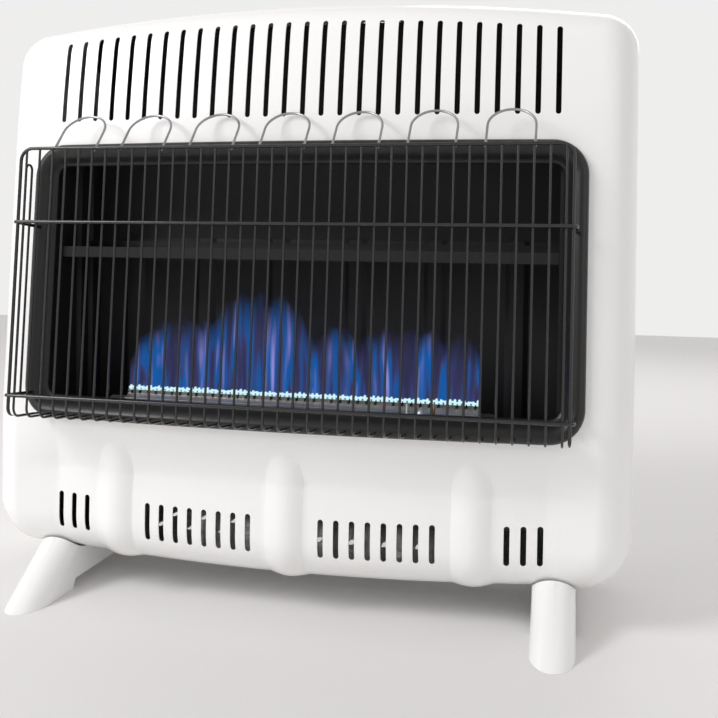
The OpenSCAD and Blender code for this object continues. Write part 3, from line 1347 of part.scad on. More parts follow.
module tray_screw_holes(r) {
  for (x = tray_screw_xs, y = tray_screw_ys)
    translate([x, y, top_at(x) - screw_l]) cylinder(r = r, h = 2 * screw_l, $fn = fn_small);
}
module foot_screws() {
  color(zinc) for (s = [-1, 1], y = foot_screw_ys)
    translate([s * foot_screw_x, y, low_at(foot_screw_x) + pan_lift + sheet_t + clear])
      rotate([180, 0, 0]) screw(screw_l);
}
module panel_screws() {
  color(white) for (x = panel_screw_xs)
    translate([x, panel_screw_y, low_at(x) - clear]) screw(screw_l / 1.5);
}
module back_screws() {
  color(white) for (s = [-1, 1], z = back_screw_zs)
    translate([s * back_screw_x, y_plate + seat, z]) rotate([90, 0, 0]) screw(screw_l / 1.5);
}
module tray_screws() {
  color(white) for (x = tray_screw_xs, y = tray_screw_ys)
    translate([x, y, top_at(x) + clear]) rotate([180, 0, 0]) screw(screw_l / 1.5);
}

front_panel();
bezel();
guard_wires();
guard_frame();
guard_rods();
guard_loops();
guard_side_wires();
cabinet_shell();
back_panel();
bottom_pan();
control_tray();
partition_left();
partition_right();
firebox_floor();
firebox_back();
firebox_hood();
upper_baffle();
burner_tube();
port_strip();
burner_brackets();
injector_holder();
injector();
pilot_bracket();
pilot_burner();
thermocouple();
spark_electrode();
gas_valve();
valve_bonnet();
bonnet_nut();
drive_bush();
knob_spindle();
control_knob();
knob_spring();
valve_bracket();
ignitor_body();
ignitor_nut();
ignitor_button();
ignitor_spring();
ignitor_lead();
regulator();
regulator_bracket();
supply_tube();
burner_feed();
pilot_tube();
tube_nuts();
thermostat_bulb();
bulb_clips();
foot_left();
foot_right();
foot_screws();
panel_screws();
back_screws();
tray_screws();
heat_shield();
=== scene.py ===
"""Looks of the vent-free gas heater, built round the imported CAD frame.

Lengths in the tables are millimetres in the frame that the part's source uses, and meshes are
made in metres. Smooth surfaces are grids of points from a formula, held as numpy arrays.
"""

import json
import math

import bmesh
import bpy
import numpy as np
from mathutils import Matrix, Vector

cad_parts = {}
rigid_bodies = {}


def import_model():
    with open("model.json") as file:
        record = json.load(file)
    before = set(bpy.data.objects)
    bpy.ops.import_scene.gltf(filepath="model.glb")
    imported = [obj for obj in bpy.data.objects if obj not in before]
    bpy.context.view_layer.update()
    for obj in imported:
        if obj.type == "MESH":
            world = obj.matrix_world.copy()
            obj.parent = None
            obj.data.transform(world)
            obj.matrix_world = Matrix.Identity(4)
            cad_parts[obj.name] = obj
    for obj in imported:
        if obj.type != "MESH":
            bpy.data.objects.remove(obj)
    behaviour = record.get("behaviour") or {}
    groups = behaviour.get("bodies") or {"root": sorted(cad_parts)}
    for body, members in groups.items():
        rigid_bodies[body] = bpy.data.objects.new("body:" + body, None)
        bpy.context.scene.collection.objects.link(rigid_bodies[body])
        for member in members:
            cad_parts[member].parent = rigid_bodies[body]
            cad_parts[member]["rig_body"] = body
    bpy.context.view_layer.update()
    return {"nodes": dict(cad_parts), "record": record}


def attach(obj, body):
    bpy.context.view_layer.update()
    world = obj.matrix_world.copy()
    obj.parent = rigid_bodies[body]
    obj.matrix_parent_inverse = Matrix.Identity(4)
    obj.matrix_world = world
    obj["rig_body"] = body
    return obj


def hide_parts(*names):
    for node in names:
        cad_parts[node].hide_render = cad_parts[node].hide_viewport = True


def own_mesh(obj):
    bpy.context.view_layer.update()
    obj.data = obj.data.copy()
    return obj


bl_info = {
    "name": "Gas heater looks",
    "version": (1, 0, 0),
    "blender": (4, 5, 0),
    "location": "3D View > Sidebar > Heater",
    "description": "Builds the panel, guard, flames and fittings of a gas heater round its CAD frame",
    "category": "Object",
}

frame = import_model()
MM = 0.001
SLOT_OF = {row["node"]: row["material_slot"] for row in frame["record"]["subparts"]}
BASE_COLOR = {row["slot"]: row["base_color"] for row in frame["record"]["materials"]}

# Sizes of the heater, as in the part's source
WIDTH, HEIGHT, DEPTH, SHEET = 768.4, 711.2, 317.5, 1.2
HALF = WIDTH / 2
Y_FACE, Y_SEAM, Y_BACK = -DEPTH / 2 + 54.0, -DEPTH / 2 + 184.0, DEPTH / 2
Z_LOW, TOP_ARCH, BOTTOM_BOW = 40.0, 22.0, 12.0
CROWN, LEAN, CURL = 27.0, 40.0, 10.0
SIDE_ROLL, BOTTOM_ROLL, TOP_CORNER, BOTTOM_CORNER = 40.0, 50.0, 42.0, 60.0
BAND_DEPTH, RIDGE_W, RIDGE_H, RIDGE_PITCH = 17.0, 46.0, 8.0, 212.0
OPEN_W, OPEN_H, OPEN_Z, OPEN_R = 644.0, 312.0, 224.0, 30.0
OPEN_TOP = OPEN_Z + OPEN_H
BEZEL_LAP, BEZEL_PROUD, BEZEL_LIP, BEZEL_REACH = 9.0, 8.0, 14.0, 26.0
TOP_SLOTS, TOP_PITCH, TOP_SLOT_W, TOP_SLOT_GAP, TOP_SLOT_L = 28, 22.0, 6.0, 37.0, 112.0
LOW_PITCH, LOW_SLOT_W, LOW_SLOT_L, LOW_SLOT_GAP, LOW_GROUP_GAP = 18.0, 6.4, 44.0, 33.0, 56.0
GUARD_GAP, GUARD_W, GUARD_H, GUARD_MID, GUARD_LIFT = 42.0, 633.0, 286.0, 200.0, 25.0
WIRES, WIRE_D, ROD_D = 38, 2.8, 4.0
LOOPS, LOOP_STEP, LOOP_SPAN, LOOP_RISE, LOOP_LEAN = 7, 5, 3.1, 47.0, 36.0
FEED_Y, PORT_Z, PORTS = Y_FACE + 66.0, 246.0, 41
BURNER_L, MOUTH_R, THROAT_R = 470.0, 15.0, 9.0
CLEAR, BITE = 0.3, 0.15
LEAN_ANGLE = math.atan(LEAN / (HEIGHT - OPEN_Z))
TRAY_X, TRAY_Y, TRAY_W, TRAY_D = 262.0, (Y_SEAM + Y_BACK - 4.0) / 2 + SHEET, 120.0, 78.0
GRILLE_N, GRILLE_W, GRILLE_L, GRILLE_X = 20, 6.0, 70.0, -44.0
FOOT_X, FOOT_W = 301.0, 48.0
GAS_X, GAS_Y, GAS_HOLE_R = 351.0, 104.4, 19.0
# How far a cutter reaches past a surface, and how much longer than wide a round hole's cutter is
OVER, ROUND_EXTRA = 1.0, 0.01

# The arched top and the bowed bottom are large arcs, with corner arcs tangent to them.
ARCH_R = (HALF**2 + TOP_ARCH**2) / (2 * TOP_ARCH)
ARCH_Z = HEIGHT - ARCH_R
TOP_CX = HALF - TOP_CORNER
TOP_CZ = ARCH_Z + math.sqrt((ARCH_R - TOP_CORNER) ** 2 - TOP_CX**2)
ARCH_A = math.degrees(math.atan2(TOP_CZ - ARCH_Z, TOP_CX))
BOW_R = (HALF**2 + BOTTOM_BOW**2) / (2 * BOTTOM_BOW)
BOW_Z = Z_LOW + BOW_R
LOW_CX = HALF - BOTTOM_CORNER
LOW_CZ = BOW_Z - math.sqrt((BOW_R - BOTTOM_CORNER) ** 2 - LOW_CX**2)
BOW_A = math.degrees(math.atan2(BOW_Z - LOW_CZ, LOW_CX))
BOW_END = BOW_R * math.cos(math.radians(BOW_A))

# How finely the outlines are divided: per interval of the lower edge, corner, side and arch
LOW_STEPS, CORNER_STEPS, SIDE_STEPS, ARCH_STEPS = 6, 20, 24, 160
# Rings over the front's roll and its face, and steps between corner points of the bezel's section
ROLL_STEPS, FACE_STEPS, BEZEL_STEPS = 16, 44, 5


# Formulas of the drawn front


def spaced(count, pitch):
    """Places at equal steps, centred on zero."""
    return (np.arange(count) - (count - 1) / 2) * pitch


def bell(reach, soft):
    """Weights of a bell curve at whole steps from -reach to reach, which add up to one."""
    weights = np.exp(-0.5 * (np.arange(-reach, reach + 1) / soft) ** 2)
    return weights / weights.sum()


# How far the front is drawn in, as shares of BAND_DEPTH, against shares of the height from the
# bottom edge to the opening
BAND_SHARES = np.array(
    [[0, 0.75], [0.3, 0.7], [0.46, 0.74], [0.56, 0.86], [0.61, 1], [0.66, 0.9], [0.82, 0.45], [1, 0]]
)
BAND_GRID = np.linspace(-0.2, 1.2, 561)
BAND_CURVE = np.convolve(np.interp(BAND_GRID, *BAND_SHARES.T), bell(15, 5), mode="same")
# Where the band ends towards the sides, and over what length it fades, as shares of HALF
BAND_END, BAND_FADE = 0.9, 0.14
# Where a ridge's cap starts and its length, as shares of the same height, and the share of its
# own height that a ridge keeps at the seam
RIDGE_CAP_FROM, RIDGE_CAP, RIDGE_FOOT = 0.62, 0.2, 0.25
# Where the curl starts, as a share of the way from the opening to the top slots
CURL_FROM = 0.4


def low_at(x):
    """Height of the bottom edge at x."""
    return BOW_Z - np.sqrt(BOW_R**2 - x**2)


def ridge_at(x, z):
    """Height of the three ridges: a cosine hill across, with a round cap at the top."""
    share = (z - Z_LOW) / (OPEN_Z - Z_LOW)
    cap = np.maximum(0, share - RIDGE_CAP_FROM) / RIDGE_CAP
    hills = [np.hypot((x - k * RIDGE_PITCH) / (RIDGE_W / 2), cap) for k in (-1, 0, 1)]
    near = np.minimum.reduce(hills)
    return np.where(near < 1, RIDGE_H * np.cos(near * math.pi / 2), 0.0)


def face_at(x, z):
    """Depth of the panel's face: it bows back towards the sides, leans back above the foot of
    the opening, curls over the slots and is drawn in below the opening."""
    share = (z - Z_LOW) / (OPEN_Z - Z_LOW)
    fade = np.clip((BAND_END - np.abs(x) / HALF) / BAND_FADE, 0, 1)
    band = BAND_DEPTH * np.interp(share, BAND_GRID, BAND_CURVE) * fade * (z < OPEN_Z)
    curl_z = OPEN_TOP + CURL_FROM * TOP_SLOT_GAP
    return (
        Y_FACE
        + CROWN * (x / HALF) ** 2
        + LEAN * np.maximum(0, z - OPEN_Z) / (HEIGHT - OPEN_Z)
        + CURL * (np.maximum(0, z - curl_z) / (HEIGHT - curl_z)) ** 2
        + band
    )


def refined(values, steps):
    """A list of numbers with each interval divided into equal steps."""
    values = np.asarray(values, float)
    return np.interp(np.arange((len(values) - 1) * steps + 1) / steps, np.arange(len(values)), values)


def low_line(end):
    """Places along the lower edge: they gather at the ridges and reach from -end to end."""
    ridge = np.array([-1, -0.7, -0.35, 0, 0.35, 0.7, 1]) * RIDGE_W / 2
    out = RIDGE_PITCH + RIDGE_W / 2
    half = np.concatenate(
        [
            ridge[4:],
            np.array([0.3, 0.5, 0.7]) * RIDGE_PITCH,
            RIDGE_PITCH + ridge,
            out + np.array([0.35, 0.7, 1]) * (end - out),
        ]
    )
    return refined(np.concatenate([-half[::-1], [0], half]), LOW_STEPS)[:-1]


def arc(cx, cz, r, a0, a1, steps):
    """Rows of x, z and outward direction on an arc, without its last point."""
    a = np.radians(np.linspace(a0, a1, steps, endpoint=False))
    return np.column_stack([cx + r * np.cos(a), cz + r * np.sin(a), np.cos(a), np.sin(a)])


def straight(p, q, direction, steps):
    """Rows of x, z and outward direction on a straight stretch, without its last point."""
    t = np.linspace(0, 1, steps, endpoint=False)[:, None]
    points = np.array(p) * (1 - t) + np.array(q) * t
    return np.hstack([points, np.tile(direction, (steps, 1))])


def outline(bottom, top, half, low, high):
    """A closed outline, anticlockwise from the lower left: rows of its bottom and top, its half
    width, and x, z, radius and degrees of its right lower and right upper corner arc."""
    (lx, lz, lr, la), (hx, hz, hr, ha) = low, high
    return np.vstack(
        [
            bottom,
            arc(lx, lz, lr, -la, 0, CORNER_STEPS),
            straight((half, lz), (half, hz), (1, 0), SIDE_STEPS),
            arc(hx, hz, hr, 0, ha, CORNER_STEPS),
            top,
            arc(-hx, hz, hr, 180 - ha, 180, CORNER_STEPS),
            straight((-half, hz), (-half, lz), (-1, 0), SIDE_STEPS),
            arc(-lx, lz, lr, 180, 180 + la, CORNER_STEPS),
        ]
    )


def cabinet_line():
    """The heater's outer outline."""
    x = low_line(BOW_END)
    bottom = np.column_stack([x, low_at(x), x / BOW_R, (low_at(x) - BOW_Z) / BOW_R])
    top = arc(0, ARCH_Z, ARCH_R, ARCH_A, 180 - ARCH_A, ARCH_STEPS)
    low, high = (LOW_CX, LOW_CZ, BOTTOM_CORNER, BOW_A), (TOP_CX, TOP_CZ, TOP_CORNER, ARCH_A)
    return outline(bottom, top, HALF, low, high)


def window_line(w, z0, z1, r):
    """A rounded window with as many points on each stretch as the outer outline."""
    cx = w / 2 - r
    x = low_line(cx)
    bottom = np.column_stack([x, np.full_like(x, z0), np.zeros_like(x), np.full_like(x, -1.0)])
    top = straight((cx, z1), (-cx, z1), (0, 1), ARCH_STEPS)
    return outline(bottom, top, w / 2, (cx, z0 + r, r, 90), (cx, z1 - r, r, 90))


# Meshes


def linked(name, data):
    """A new object of the scene that holds the data."""
    obj = bpy.data.objects.new(name, data)
    bpy.context.scene.collection.objects.link(obj)
    return obj


def mesh_object(name, points, faces, uv=None):
    """A new object from points in millimetres and an array of faces with equal corner counts."""
    mesh = bpy.data.meshes.new(name)
    count, corners = faces.shape
    mesh.vertices.add(len(points))
    mesh.vertices.foreach_set("co", (np.asarray(points, np.float32) * MM).ravel())
    mesh.loops.add(count * corners)
    mesh.loops.foreach_set("vertex_index", faces.astype(np.int32).ravel())
    mesh.polygons.add(count)
    mesh.polygons.foreach_set("loop_start", np.arange(0, count * corners, corners, dtype=np.int32))
    mesh.update(calc_edges=True)
    if uv is not None:
        layer = mesh.uv_layers.new(name="UVMap")
        layer.data.foreach_set("uv", np.asarray(uv, np.float32)[faces.ravel()].ravel())
    obj = linked(name, mesh)
    smooth(obj)
    return obj


def smooth(obj, sharp=40.0):
    """Smooth shading, with edges steeper than the angle kept sharp."""
    mesh = obj.data
    mesh.polygons.foreach_set("use_smooth", np.ones(len(mesh.polygons), bool))
    mesh.set_sharp_from_angle(angle=math.radians(sharp))
    mesh.update()


def grid_faces(rows, cols, wrap_rows=False, wrap_cols=True, start=0):
    """Four-sided faces between the points of a grid, numbered row by row."""
    i = np.arange(rows if wrap_rows else rows - 1)[:, None]
    k = np.arange(cols if wrap_cols else cols - 1)[None, :]
    row, next_row, next_k = i * cols, (i + 1) % rows * cols, (k + 1) % cols
    corners = [row + k, row + next_k, next_row + next_k, next_row + k]
    return start + np.stack(corners, -1).reshape(-1, 4)


def turn_outwards(mesh):
    """Turns a mesh's faces outwards."""
    bm = bmesh.new()
    bm.from_mesh(mesh)
    bmesh.ops.recalc_face_normals(bm, faces=bm.faces)
    bm.to_mesh(mesh)
    bm.free()


def ring_body(name, rings):
    """A closed body from rings of points that run once round it, out and back."""
    rings = np.asarray(rings)
    return mesh_object(name, rings.reshape(-1, 3), grid_faces(*rings.shape[:2], wrap_rows=True))


def unit(vectors):
    """Vectors of length one in the same directions."""
    return vectors / np.linalg.norm(vectors, axis=-1, keepdims=True)


def tubes(name, paths, radius, sides=14):
    """Round wires along paths of equal length: at each point a circle stands across the path.
    The circle's first direction is square to the plane that the path lies in, and is X for a
    straight path."""
    p = np.asarray(paths, float)
    step = unit(np.gradient(p, axis=1))
    plane = np.cross(p[:, -1] - p[:, 0], p[:, p.shape[1] // 2] - p[:, 0])
    flat = np.linalg.norm(plane, axis=1, keepdims=True) < 1e-3
    first = np.broadcast_to(unit(np.where(flat, [1.0, 0, 0], plane))[:, None, :], p.shape)
    second = np.cross(step, first)
    a = np.linspace(0, 2 * math.pi, sides, endpoint=False)
    ring = first[:, :, None] * np.cos(a)[:, None] + second[:, :, None] * np.sin(a)[:, None]
    points = p[:, :, None] + radius * ring
    ends = points[:, [0, -1]].mean(axis=2)
    count, rows = p.shape[:2]
    body = np.concatenate([grid_faces(rows, sides, start=i * rows * sides) for i in range(count)])
    offset = count * rows * sides
    i, k = np.arange(count)[:, None], np.arange(sides)[None, :]
    foot, top = i * rows * sides, (i + 1) * rows * sides - sides
    low = np.broadcast_arrays(offset + 2 * i, foot + (k + 1) % sides, foot + k)
    high = np.broadcast_arrays(offset + 2 * i + 1, top + k, top + (k + 1) % sides)
    caps = np.concatenate([np.stack(low, -1), np.stack(high, -1)]).reshape(-1, 3)
    obj = mesh_object(name, np.concatenate([points.reshape(-1, 3), ends.reshape(-1, 3)]), body)
    bm = bmesh.new()
    bm.from_mesh(obj.data)
    bm.verts.ensure_lookup_table()
    for corners in caps.tolist():
        bm.faces.new([bm.verts[v] for v in corners])
    bm.to_mesh(obj.data)
    bm.free()
    smooth(obj)
    return obj


def stadiums(centres, widths, lengths, y0, y1, along="z"):
    """Round-ended slot bodies as one cutter: each is an oval outline drawn out along its third
    axis. Widths and lengths are one number for all the slots, or one for each."""
    steps = 24
    a = np.radians(np.concatenate([np.linspace(-90, 90, steps // 2), np.linspace(90, 270, steps // 2)]))
    shift = np.repeat([1.0, -1.0], steps // 2)
    c = np.asarray(centres, float)
    r = np.broadcast_to(widths, len(c))[:, None] / 2
    half = np.broadcast_to(lengths, len(c))[:, None] / 2 - r
    long = half * shift + r * np.cos(a)
    wide = r * np.sin(a)
    x, z = c[:, :1] + wide, c[:, 1:] + long
    rings = [np.stack([x, np.full_like(x, y), z], -1) for y in (y0, y1)]
    points = np.stack(rings, 1).reshape(-1, 3)
    if along == "y":
        points = points[:, [0, 2, 1]]
    faces = []
    for start in range(0, len(c) * 2 * steps, 2 * steps):
        faces += grid_faces(2, steps, start=start).tolist()
        faces.append(list(range(start, start + steps))[::-1])
        faces.append(list(range(start + steps, start + 2 * steps)))
    return cutter_from(points, faces)


def cutter_from(points, faces):
    """An object for cutting with, from points in millimetres, its faces turned outwards."""
    mesh = bpy.data.meshes.new("cutter")
    mesh.from_pydata((points * MM).tolist(), [], faces)
    turn_outwards(mesh)
    return linked("cutter", mesh)


def block(low, high):
    """A box-shaped cutter between two corners in millimetres."""
    pick = np.array([[i >> k & 1 for k in range(3)] for i in range(8)])
    faces = [[0, 2, 3, 1], [4, 5, 7, 6], [0, 1, 5, 4], [2, 6, 7, 3], [0, 4, 6, 2], [1, 3, 7, 5]]
    return cutter_from(np.where(pick == 1, high, low), faces)


def cut(obj, *cutters):
    """Takes the cutters out of the object and removes them."""
    turn_outwards(obj.data)
    for tool in cutters:
        modifier = obj.modifiers.new("cut", "BOOLEAN")
        modifier.operation, modifier.solver, modifier.object = "DIFFERENCE", "MANIFOLD", tool
    bpy.context.view_layer.update()
    done = bpy.data.meshes.new_from_object(obj.evaluated_get(bpy.context.evaluated_depsgraph_get()))
    obj.modifiers.clear()
    obj.data = done
    for tool in cutters:
        bpy.data.objects.remove(tool)
    smooth(obj)
    return obj


# Materials


def ramp_node(tree, source, stops):
    """A colour ramp on a source, from (position, colour with alpha) stops."""
    ramp = tree.nodes.new("ShaderNodeValToRGB")
    while len(ramp.color_ramp.elements) < len(stops):
        ramp.color_ramp.elements.new(0.5)
    for stop, (position, color) in zip(ramp.color_ramp.elements, stops):
        stop.position, stop.color = position, color
    tree.links.new(source, ramp.inputs["Fac"])
    return ramp


class Shader:
    """A material with a Principled shader, and short ways to add nodes to it."""

    def __init__(self, name, color, roughness, metallic=0.0, coat=0.0):
        self.material = bpy.data.materials.new(name)
        self.material.use_nodes = True
        self.tree = self.material.node_tree
        self.main = self.tree.nodes["Principled BSDF"]
        values = {"Base Color": (*color, 1.0), "Roughness": roughness, "Metallic": metallic}
        values |= {"Coat Weight": coat, "Coat Roughness": 0.12}
        for key, value in values.items():
            self.main.inputs[key].default_value = value
        self.place = self.node("ShaderNodeTexCoord").outputs["Object"]

    def node(self, kind, **values):
        """A node of that kind, with socket values and properties set by name."""
        n = self.tree.nodes.new(kind)
        for key, value in values.items():
            if key in n.inputs:
                n.inputs[key].default_value = value
            else:
                setattr(n, key, value)
        return n

    def link(self, a, b):
        """Links an output to an input."""
        self.tree.links.new(a, b)

    def noise(self, scale, detail=3.0, stretch=(1.0, 1.0, 1.0)):
        """A noise texture on object coordinates, stretched along its axes."""
        mapping = self.node("ShaderNodeMapping", Scale=stretch)
        self.link(self.place, mapping.inputs["Vector"])
        texture = self.node("ShaderNodeTexNoise", Scale=scale, Detail=detail)
        self.link(mapping.outputs["Vector"], texture.inputs["Vector"])
        return texture.outputs["Fac"]

    def spread(self, source, low, high, target):
        """Maps a texture's range to low..high on one of the shader's inputs."""
        limits = {"From Min": 0.2, "From Max": 0.8, "To Min": low, "To Max": high}
        ranged = self.node("ShaderNodeMapRange", **limits)
        self.link(source, ranged.inputs["Value"])
        self.link(ranged.outputs["Result"], self.main.inputs[target])

    def tint(self, source, colors, where=(0.35, 0.65)):
        """Colours the shader by a texture, through a ramp."""
        stops = [(position, (*color, 1.0)) for position, color in zip(where, colors)]
        ramp = ramp_node(self.tree, source, stops)
        self.link(ramp.outputs["Color"], self.main.inputs["Base Color"])

    def relief(self, source, strength, distance, edge=0.0):
        """Bump from a texture, over edges rounded by a bevel of that radius."""
        bump = self.node("ShaderNodeBump", Strength=strength, Distance=distance)
        self.link(source, bump.inputs["Height"])
        if edge:
            bevel = self.node("ShaderNodeBevel", Radius=edge, samples=4)
            self.link(bevel.outputs["Normal"], bump.inputs["Normal"])
        self.link(bump.outputs["Normal"], self.main.inputs["Normal"])


def shade(color, factor):
    """A colour made lighter or darker."""
    return tuple(min(1.0, c * factor) for c in color)


def painted(name, color, roughness, coat, grain):
    """Enamel: a faint orange-peel relief and uneven gloss."""
    s = Shader(name, color, roughness, coat=coat)
    s.spread(s.noise(6.0, 1.0), roughness * 0.93, roughness * 1.1, "Roughness")
    s.relief(s.noise(420.0, 2.0), grain, 0.0002, edge=0.0005)
    return s.material


def metal(name, color, roughness, grain=0.12, scale=260.0, stretch=(1.0, 1.0, 1.0)):
    """Bare metal: slightly uneven brightness and a fine grain, drawn out by the stretch."""
    s = Shader(name, color, roughness, metallic=1.0)
    s.tint(s.noise(22.0), (shade(color, 0.86), shade(color, 1.08)))
    s.spread(s.noise(scale, 2.0, stretch), roughness * 0.8, roughness * 1.3, "Roughness")
    s.relief(s.noise(scale, 2.0, stretch), grain, 0.0002, edge=0.0004)
    return s.material


def galvanised(name, color):
    """Zinc sheet: flat crystals of slightly different brightness."""
    s = Shader(name, color, 0.38, metallic=1.0)
    cells = s.node("ShaderNodeTexVoronoi", Scale=95.0)
    s.link(s.place, cells.inputs["Vector"])
    grey = s.node("ShaderNodeSeparateColor")
    s.link(cells.outputs["Color"], grey.inputs["Color"])
    s.tint(grey.outputs["Red"], (shade(color, 0.84), shade(color, 1.1)), (0.0, 1.0))
    s.spread(grey.outputs["Green"], 0.3, 0.45, "Roughness")
    return s.material


def stained(name, color):
    """Burner steel: brownish heat stains in soft clouds along the tube."""
    s = Shader(name, color, 0.42, metallic=1.0)
    s.tint(s.noise(9.0, 4.0, (0.6, 2.0, 2.0)), ((0.34, 0.3, 0.27), (0.62, 0.6, 0.58)))
    s.relief(s.noise(300.0, 2.0, (0.2, 1.0, 1.0)), 0.12, 0.0002, edge=0.0004)
    return s.material


def ceramic(name, color):
    """Glazed ceramic."""
    s = Shader(name, color, 0.22, coat=0.6)
    s.tint(s.noise(60.0), (shade(color, 0.95), color))
    return s.material


def plastic(name, color, roughness):
    """Moulded plastic with a fine spark-eroded grain."""
    s = Shader(name, color, roughness)
    s.spread(s.noise(30.0), roughness * 0.9, roughness * 1.15, "Roughness")
    s.relief(s.noise(900.0, 2.0), 0.1, 0.0001, edge=0.0004)
    return s.material


def make_materials(look):
    """All the finishes: each slot's function, its colour and what else the function takes."""
    c = {slot: tuple(color[:3]) for slot, color in BASE_COLOR.items()}
    black = tuple(look.black)
    finishes = {
        "white_enamel": (painted, tuple(look.enamel), look.enamel_roughness, 0.35, 0.03),
        "black_enamel": (painted, black, 0.42, 0.1, 0.08),
        # the firebox's enamel: the black darkened further as painted shade of the deep firebox, and
        # made matt
        "sooted_enamel": (painted, shade(black, 0.45), 0.62, 0.0, 0.1),
        "black_wire": (painted, tuple(look.wire), 0.26, 0.3, 0.03),
        "bright_wire": (metal, shade(c["bright_wire"], 0.55), 0.36, 0.03),
        "zinc_sheet": (galvanised, c["zinc_sheet"]),
        "burner_steel": (stained, c["burner_steel"]),
        "cast_aluminium": (metal, c["cast_aluminium"], 0.5, 0.35, 500.0),
        "brass_parts": (metal, c["brass_parts"], 0.28, 0.12, 260.0, (1.0, 1.0, 6.0)),
        "plated_steel": (metal, c["plated_steel"], 0.28),
        "aluminium_tube": (metal, c["aluminium_tube"], 0.34),
        "copper_line": (metal, c["copper_line"], 0.32),
        "white_ceramic": (ceramic, c["white_ceramic"]),
        "black_plastic": (plastic, c["black_plastic"], 0.45),
        "white_sleeve": (plastic, c["white_sleeve"], 0.6),
    }
    return {slot: make(slot, *values) for slot, (make, *values) in finishes.items()}


def bare_material(name):
    """A material whose node tree is empty."""
    material = bpy.data.materials.new(name)
    material.use_nodes = True
    material.node_tree.nodes.clear()
    return material


def glow_material(name, color):
    """A plain glowing material."""
    material = bare_material(name)
    new, link = material.node_tree.nodes.new, material.node_tree.links.new
    glow, out = new("ShaderNodeEmission"), new("ShaderNodeOutputMaterial")
    glow.inputs["Color"].default_value = (*color, 1.0)
    link(glow.outputs["Emission"], out.inputs["Surface"])
    return material


# Materials by slot name
MADE = {}
# Metres within which a copy's points merge, and degrees within which its faces do
MERGE_DIST, FLAT_ANGLE = 0.00001, 0.4


def finish_of(slot):
    """The material of a slot; all of them are made at the first call."""
    if not MADE:
        MADE.update(make_materials(bpy.context.scene.heater_look))
    return MADE[slot]


def dress(obj, slot, body, *nodes):
    """Gives a piece its finish, its body and the CAD nodes it stands for."""
    obj.data.materials.clear()
    obj.data.materials.append(finish_of(slot))
    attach(obj, body)
    if nodes:
        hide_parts(*nodes)
    return obj


def finished_copy(node, width=0.0):
    """A copy of a CAD node that stands for it: points merged and, where a width is given, edges
    rounded. Edges flatter than the angle in degrees are smooth and keep their shape."""
    angle = 32.0 if width else 60.0
    source = frame["nodes"][node]
    mesh = source.data.copy()
    bm = bmesh.new()
    bm.from_mesh(mesh)
    bmesh.ops.remove_doubles(bm, verts=bm.verts, dist=MERGE_DIST)
    flat = math.radians(FLAT_ANGLE)
    bmesh.ops.dissolve_limit(bm, angle_limit=flat, verts=bm.verts, edges=bm.edges)
    bmesh.ops.recalc_face_normals(bm, faces=bm.faces)
    bm.to_mesh(mesh)
    bm.free()
    obj = linked(node + "_finished", mesh)
    if width:
        bevel = obj.modifiers.new("edges", "BEVEL")
        bevel.width, bevel.segments = width * MM, 2
        bevel.limit_method, bevel.angle_limit = "ANGLE", math.radians(angle)
        bevel.harden_normals = True
    smooth(obj, angle)
    return dress(obj, SLOT_OF[node], source["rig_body"], node)


# Pieces


def panel_rings(depth, face_shares):
    """Rings of the front's sheet at a depth into it: a flange at the seam, a quarter roll whose
    radius grows round the bottom corners, and straight mixes from the roll to the window."""
    p = cabinet_line()
    x, z, nx, nz = p.T
    r = SIDE_ROLL + (BOTTOM_ROLL - SIDE_ROLL) * np.maximum(0, -nz) ** 2
    rings = [np.column_stack([x - nx * depth, np.full_like(x, Y_SEAM), z - nz * depth])]
    for a in np.linspace(0, math.pi / 2, ROLL_STEPS, endpoint=False):
        d = r * (1 - math.cos(a))
        rx, rz = x - nx * d, z - nz * d
        h = ridge_at(rx, rz) * (RIDGE_FOOT + (1 - RIDGE_FOOT) * math.sin(a)) - depth
        y = face_at(rx, rz) + r * (1 - math.sin(a)) - math.sin(a) * h
        rings.append(np.column_stack([rx + nx * math.cos(a) * h, y, rz + nz * math.cos(a) * h]))
    w = window_line(OPEN_W, OPEN_Z, OPEN_TOP, OPEN_R)
    for s in face_shares:
        fx = (x - nx * r) * (1 - s) + w[:, 0] * s
        fz = (z - nz * r) * (1 - s) + w[:, 1] * s
        rings.append(np.column_stack([fx, face_at(fx, fz) - ridge_at(fx, fz) + depth, fz]))
    return rings


def make_front_panel():
    """The drawn white front with its rolled edges, ridges and slots."""
    outer = panel_rings(0.0, np.linspace(0, 1, FACE_STEPS))
    inner = panel_rings(SHEET, np.linspace(0, 1, FACE_STEPS // 3))
    panel = ring_body("enamelled_front", outer + inner[::-1])
    x = spaced(TOP_SLOTS, TOP_PITCH)
    length = TOP_SLOT_L - TOP_ARCH * (x / HALF) ** 2
    top = np.column_stack([x, OPEN_TOP + TOP_SLOT_GAP + length / 2])
    group = RIDGE_PITCH + LOW_GROUP_GAP
    groups = ((-group, 3), (-RIDGE_PITCH / 2, 8), (RIDGE_PITCH / 2, 8), (group, 3))
    low_x = np.concatenate([middle + spaced(count, LOW_PITCH) for middle, count in groups])
    low = np.column_stack([low_x, low_at(low_x) + LOW_SLOT_GAP + LOW_SLOT_L / 2])
    deep = Y_FACE + BAND_DEPTH + CROWN + BOTTOM_ROLL / 2
    cut(
        panel,
        stadiums(top, TOP_SLOT_W, length, Y_FACE - OVER, Y_SEAM - SHEET),
        stadiums(low, LOW_SLOT_W, LOW_SLOT_L, Y_FACE - RIDGE_H - OVER, deep),
    )
    return dress(panel, "white_enamel", "root", "front_panel")


def outline_ring(inset, y):
    """One ring of the outer outline, moved inwards, at a depth y."""
    p = cabinet_line()
    return np.column_stack([p[:, 0] - p[:, 2] * inset, np.full(len(p), y), p[:, 1] - p[:, 3] * inset])


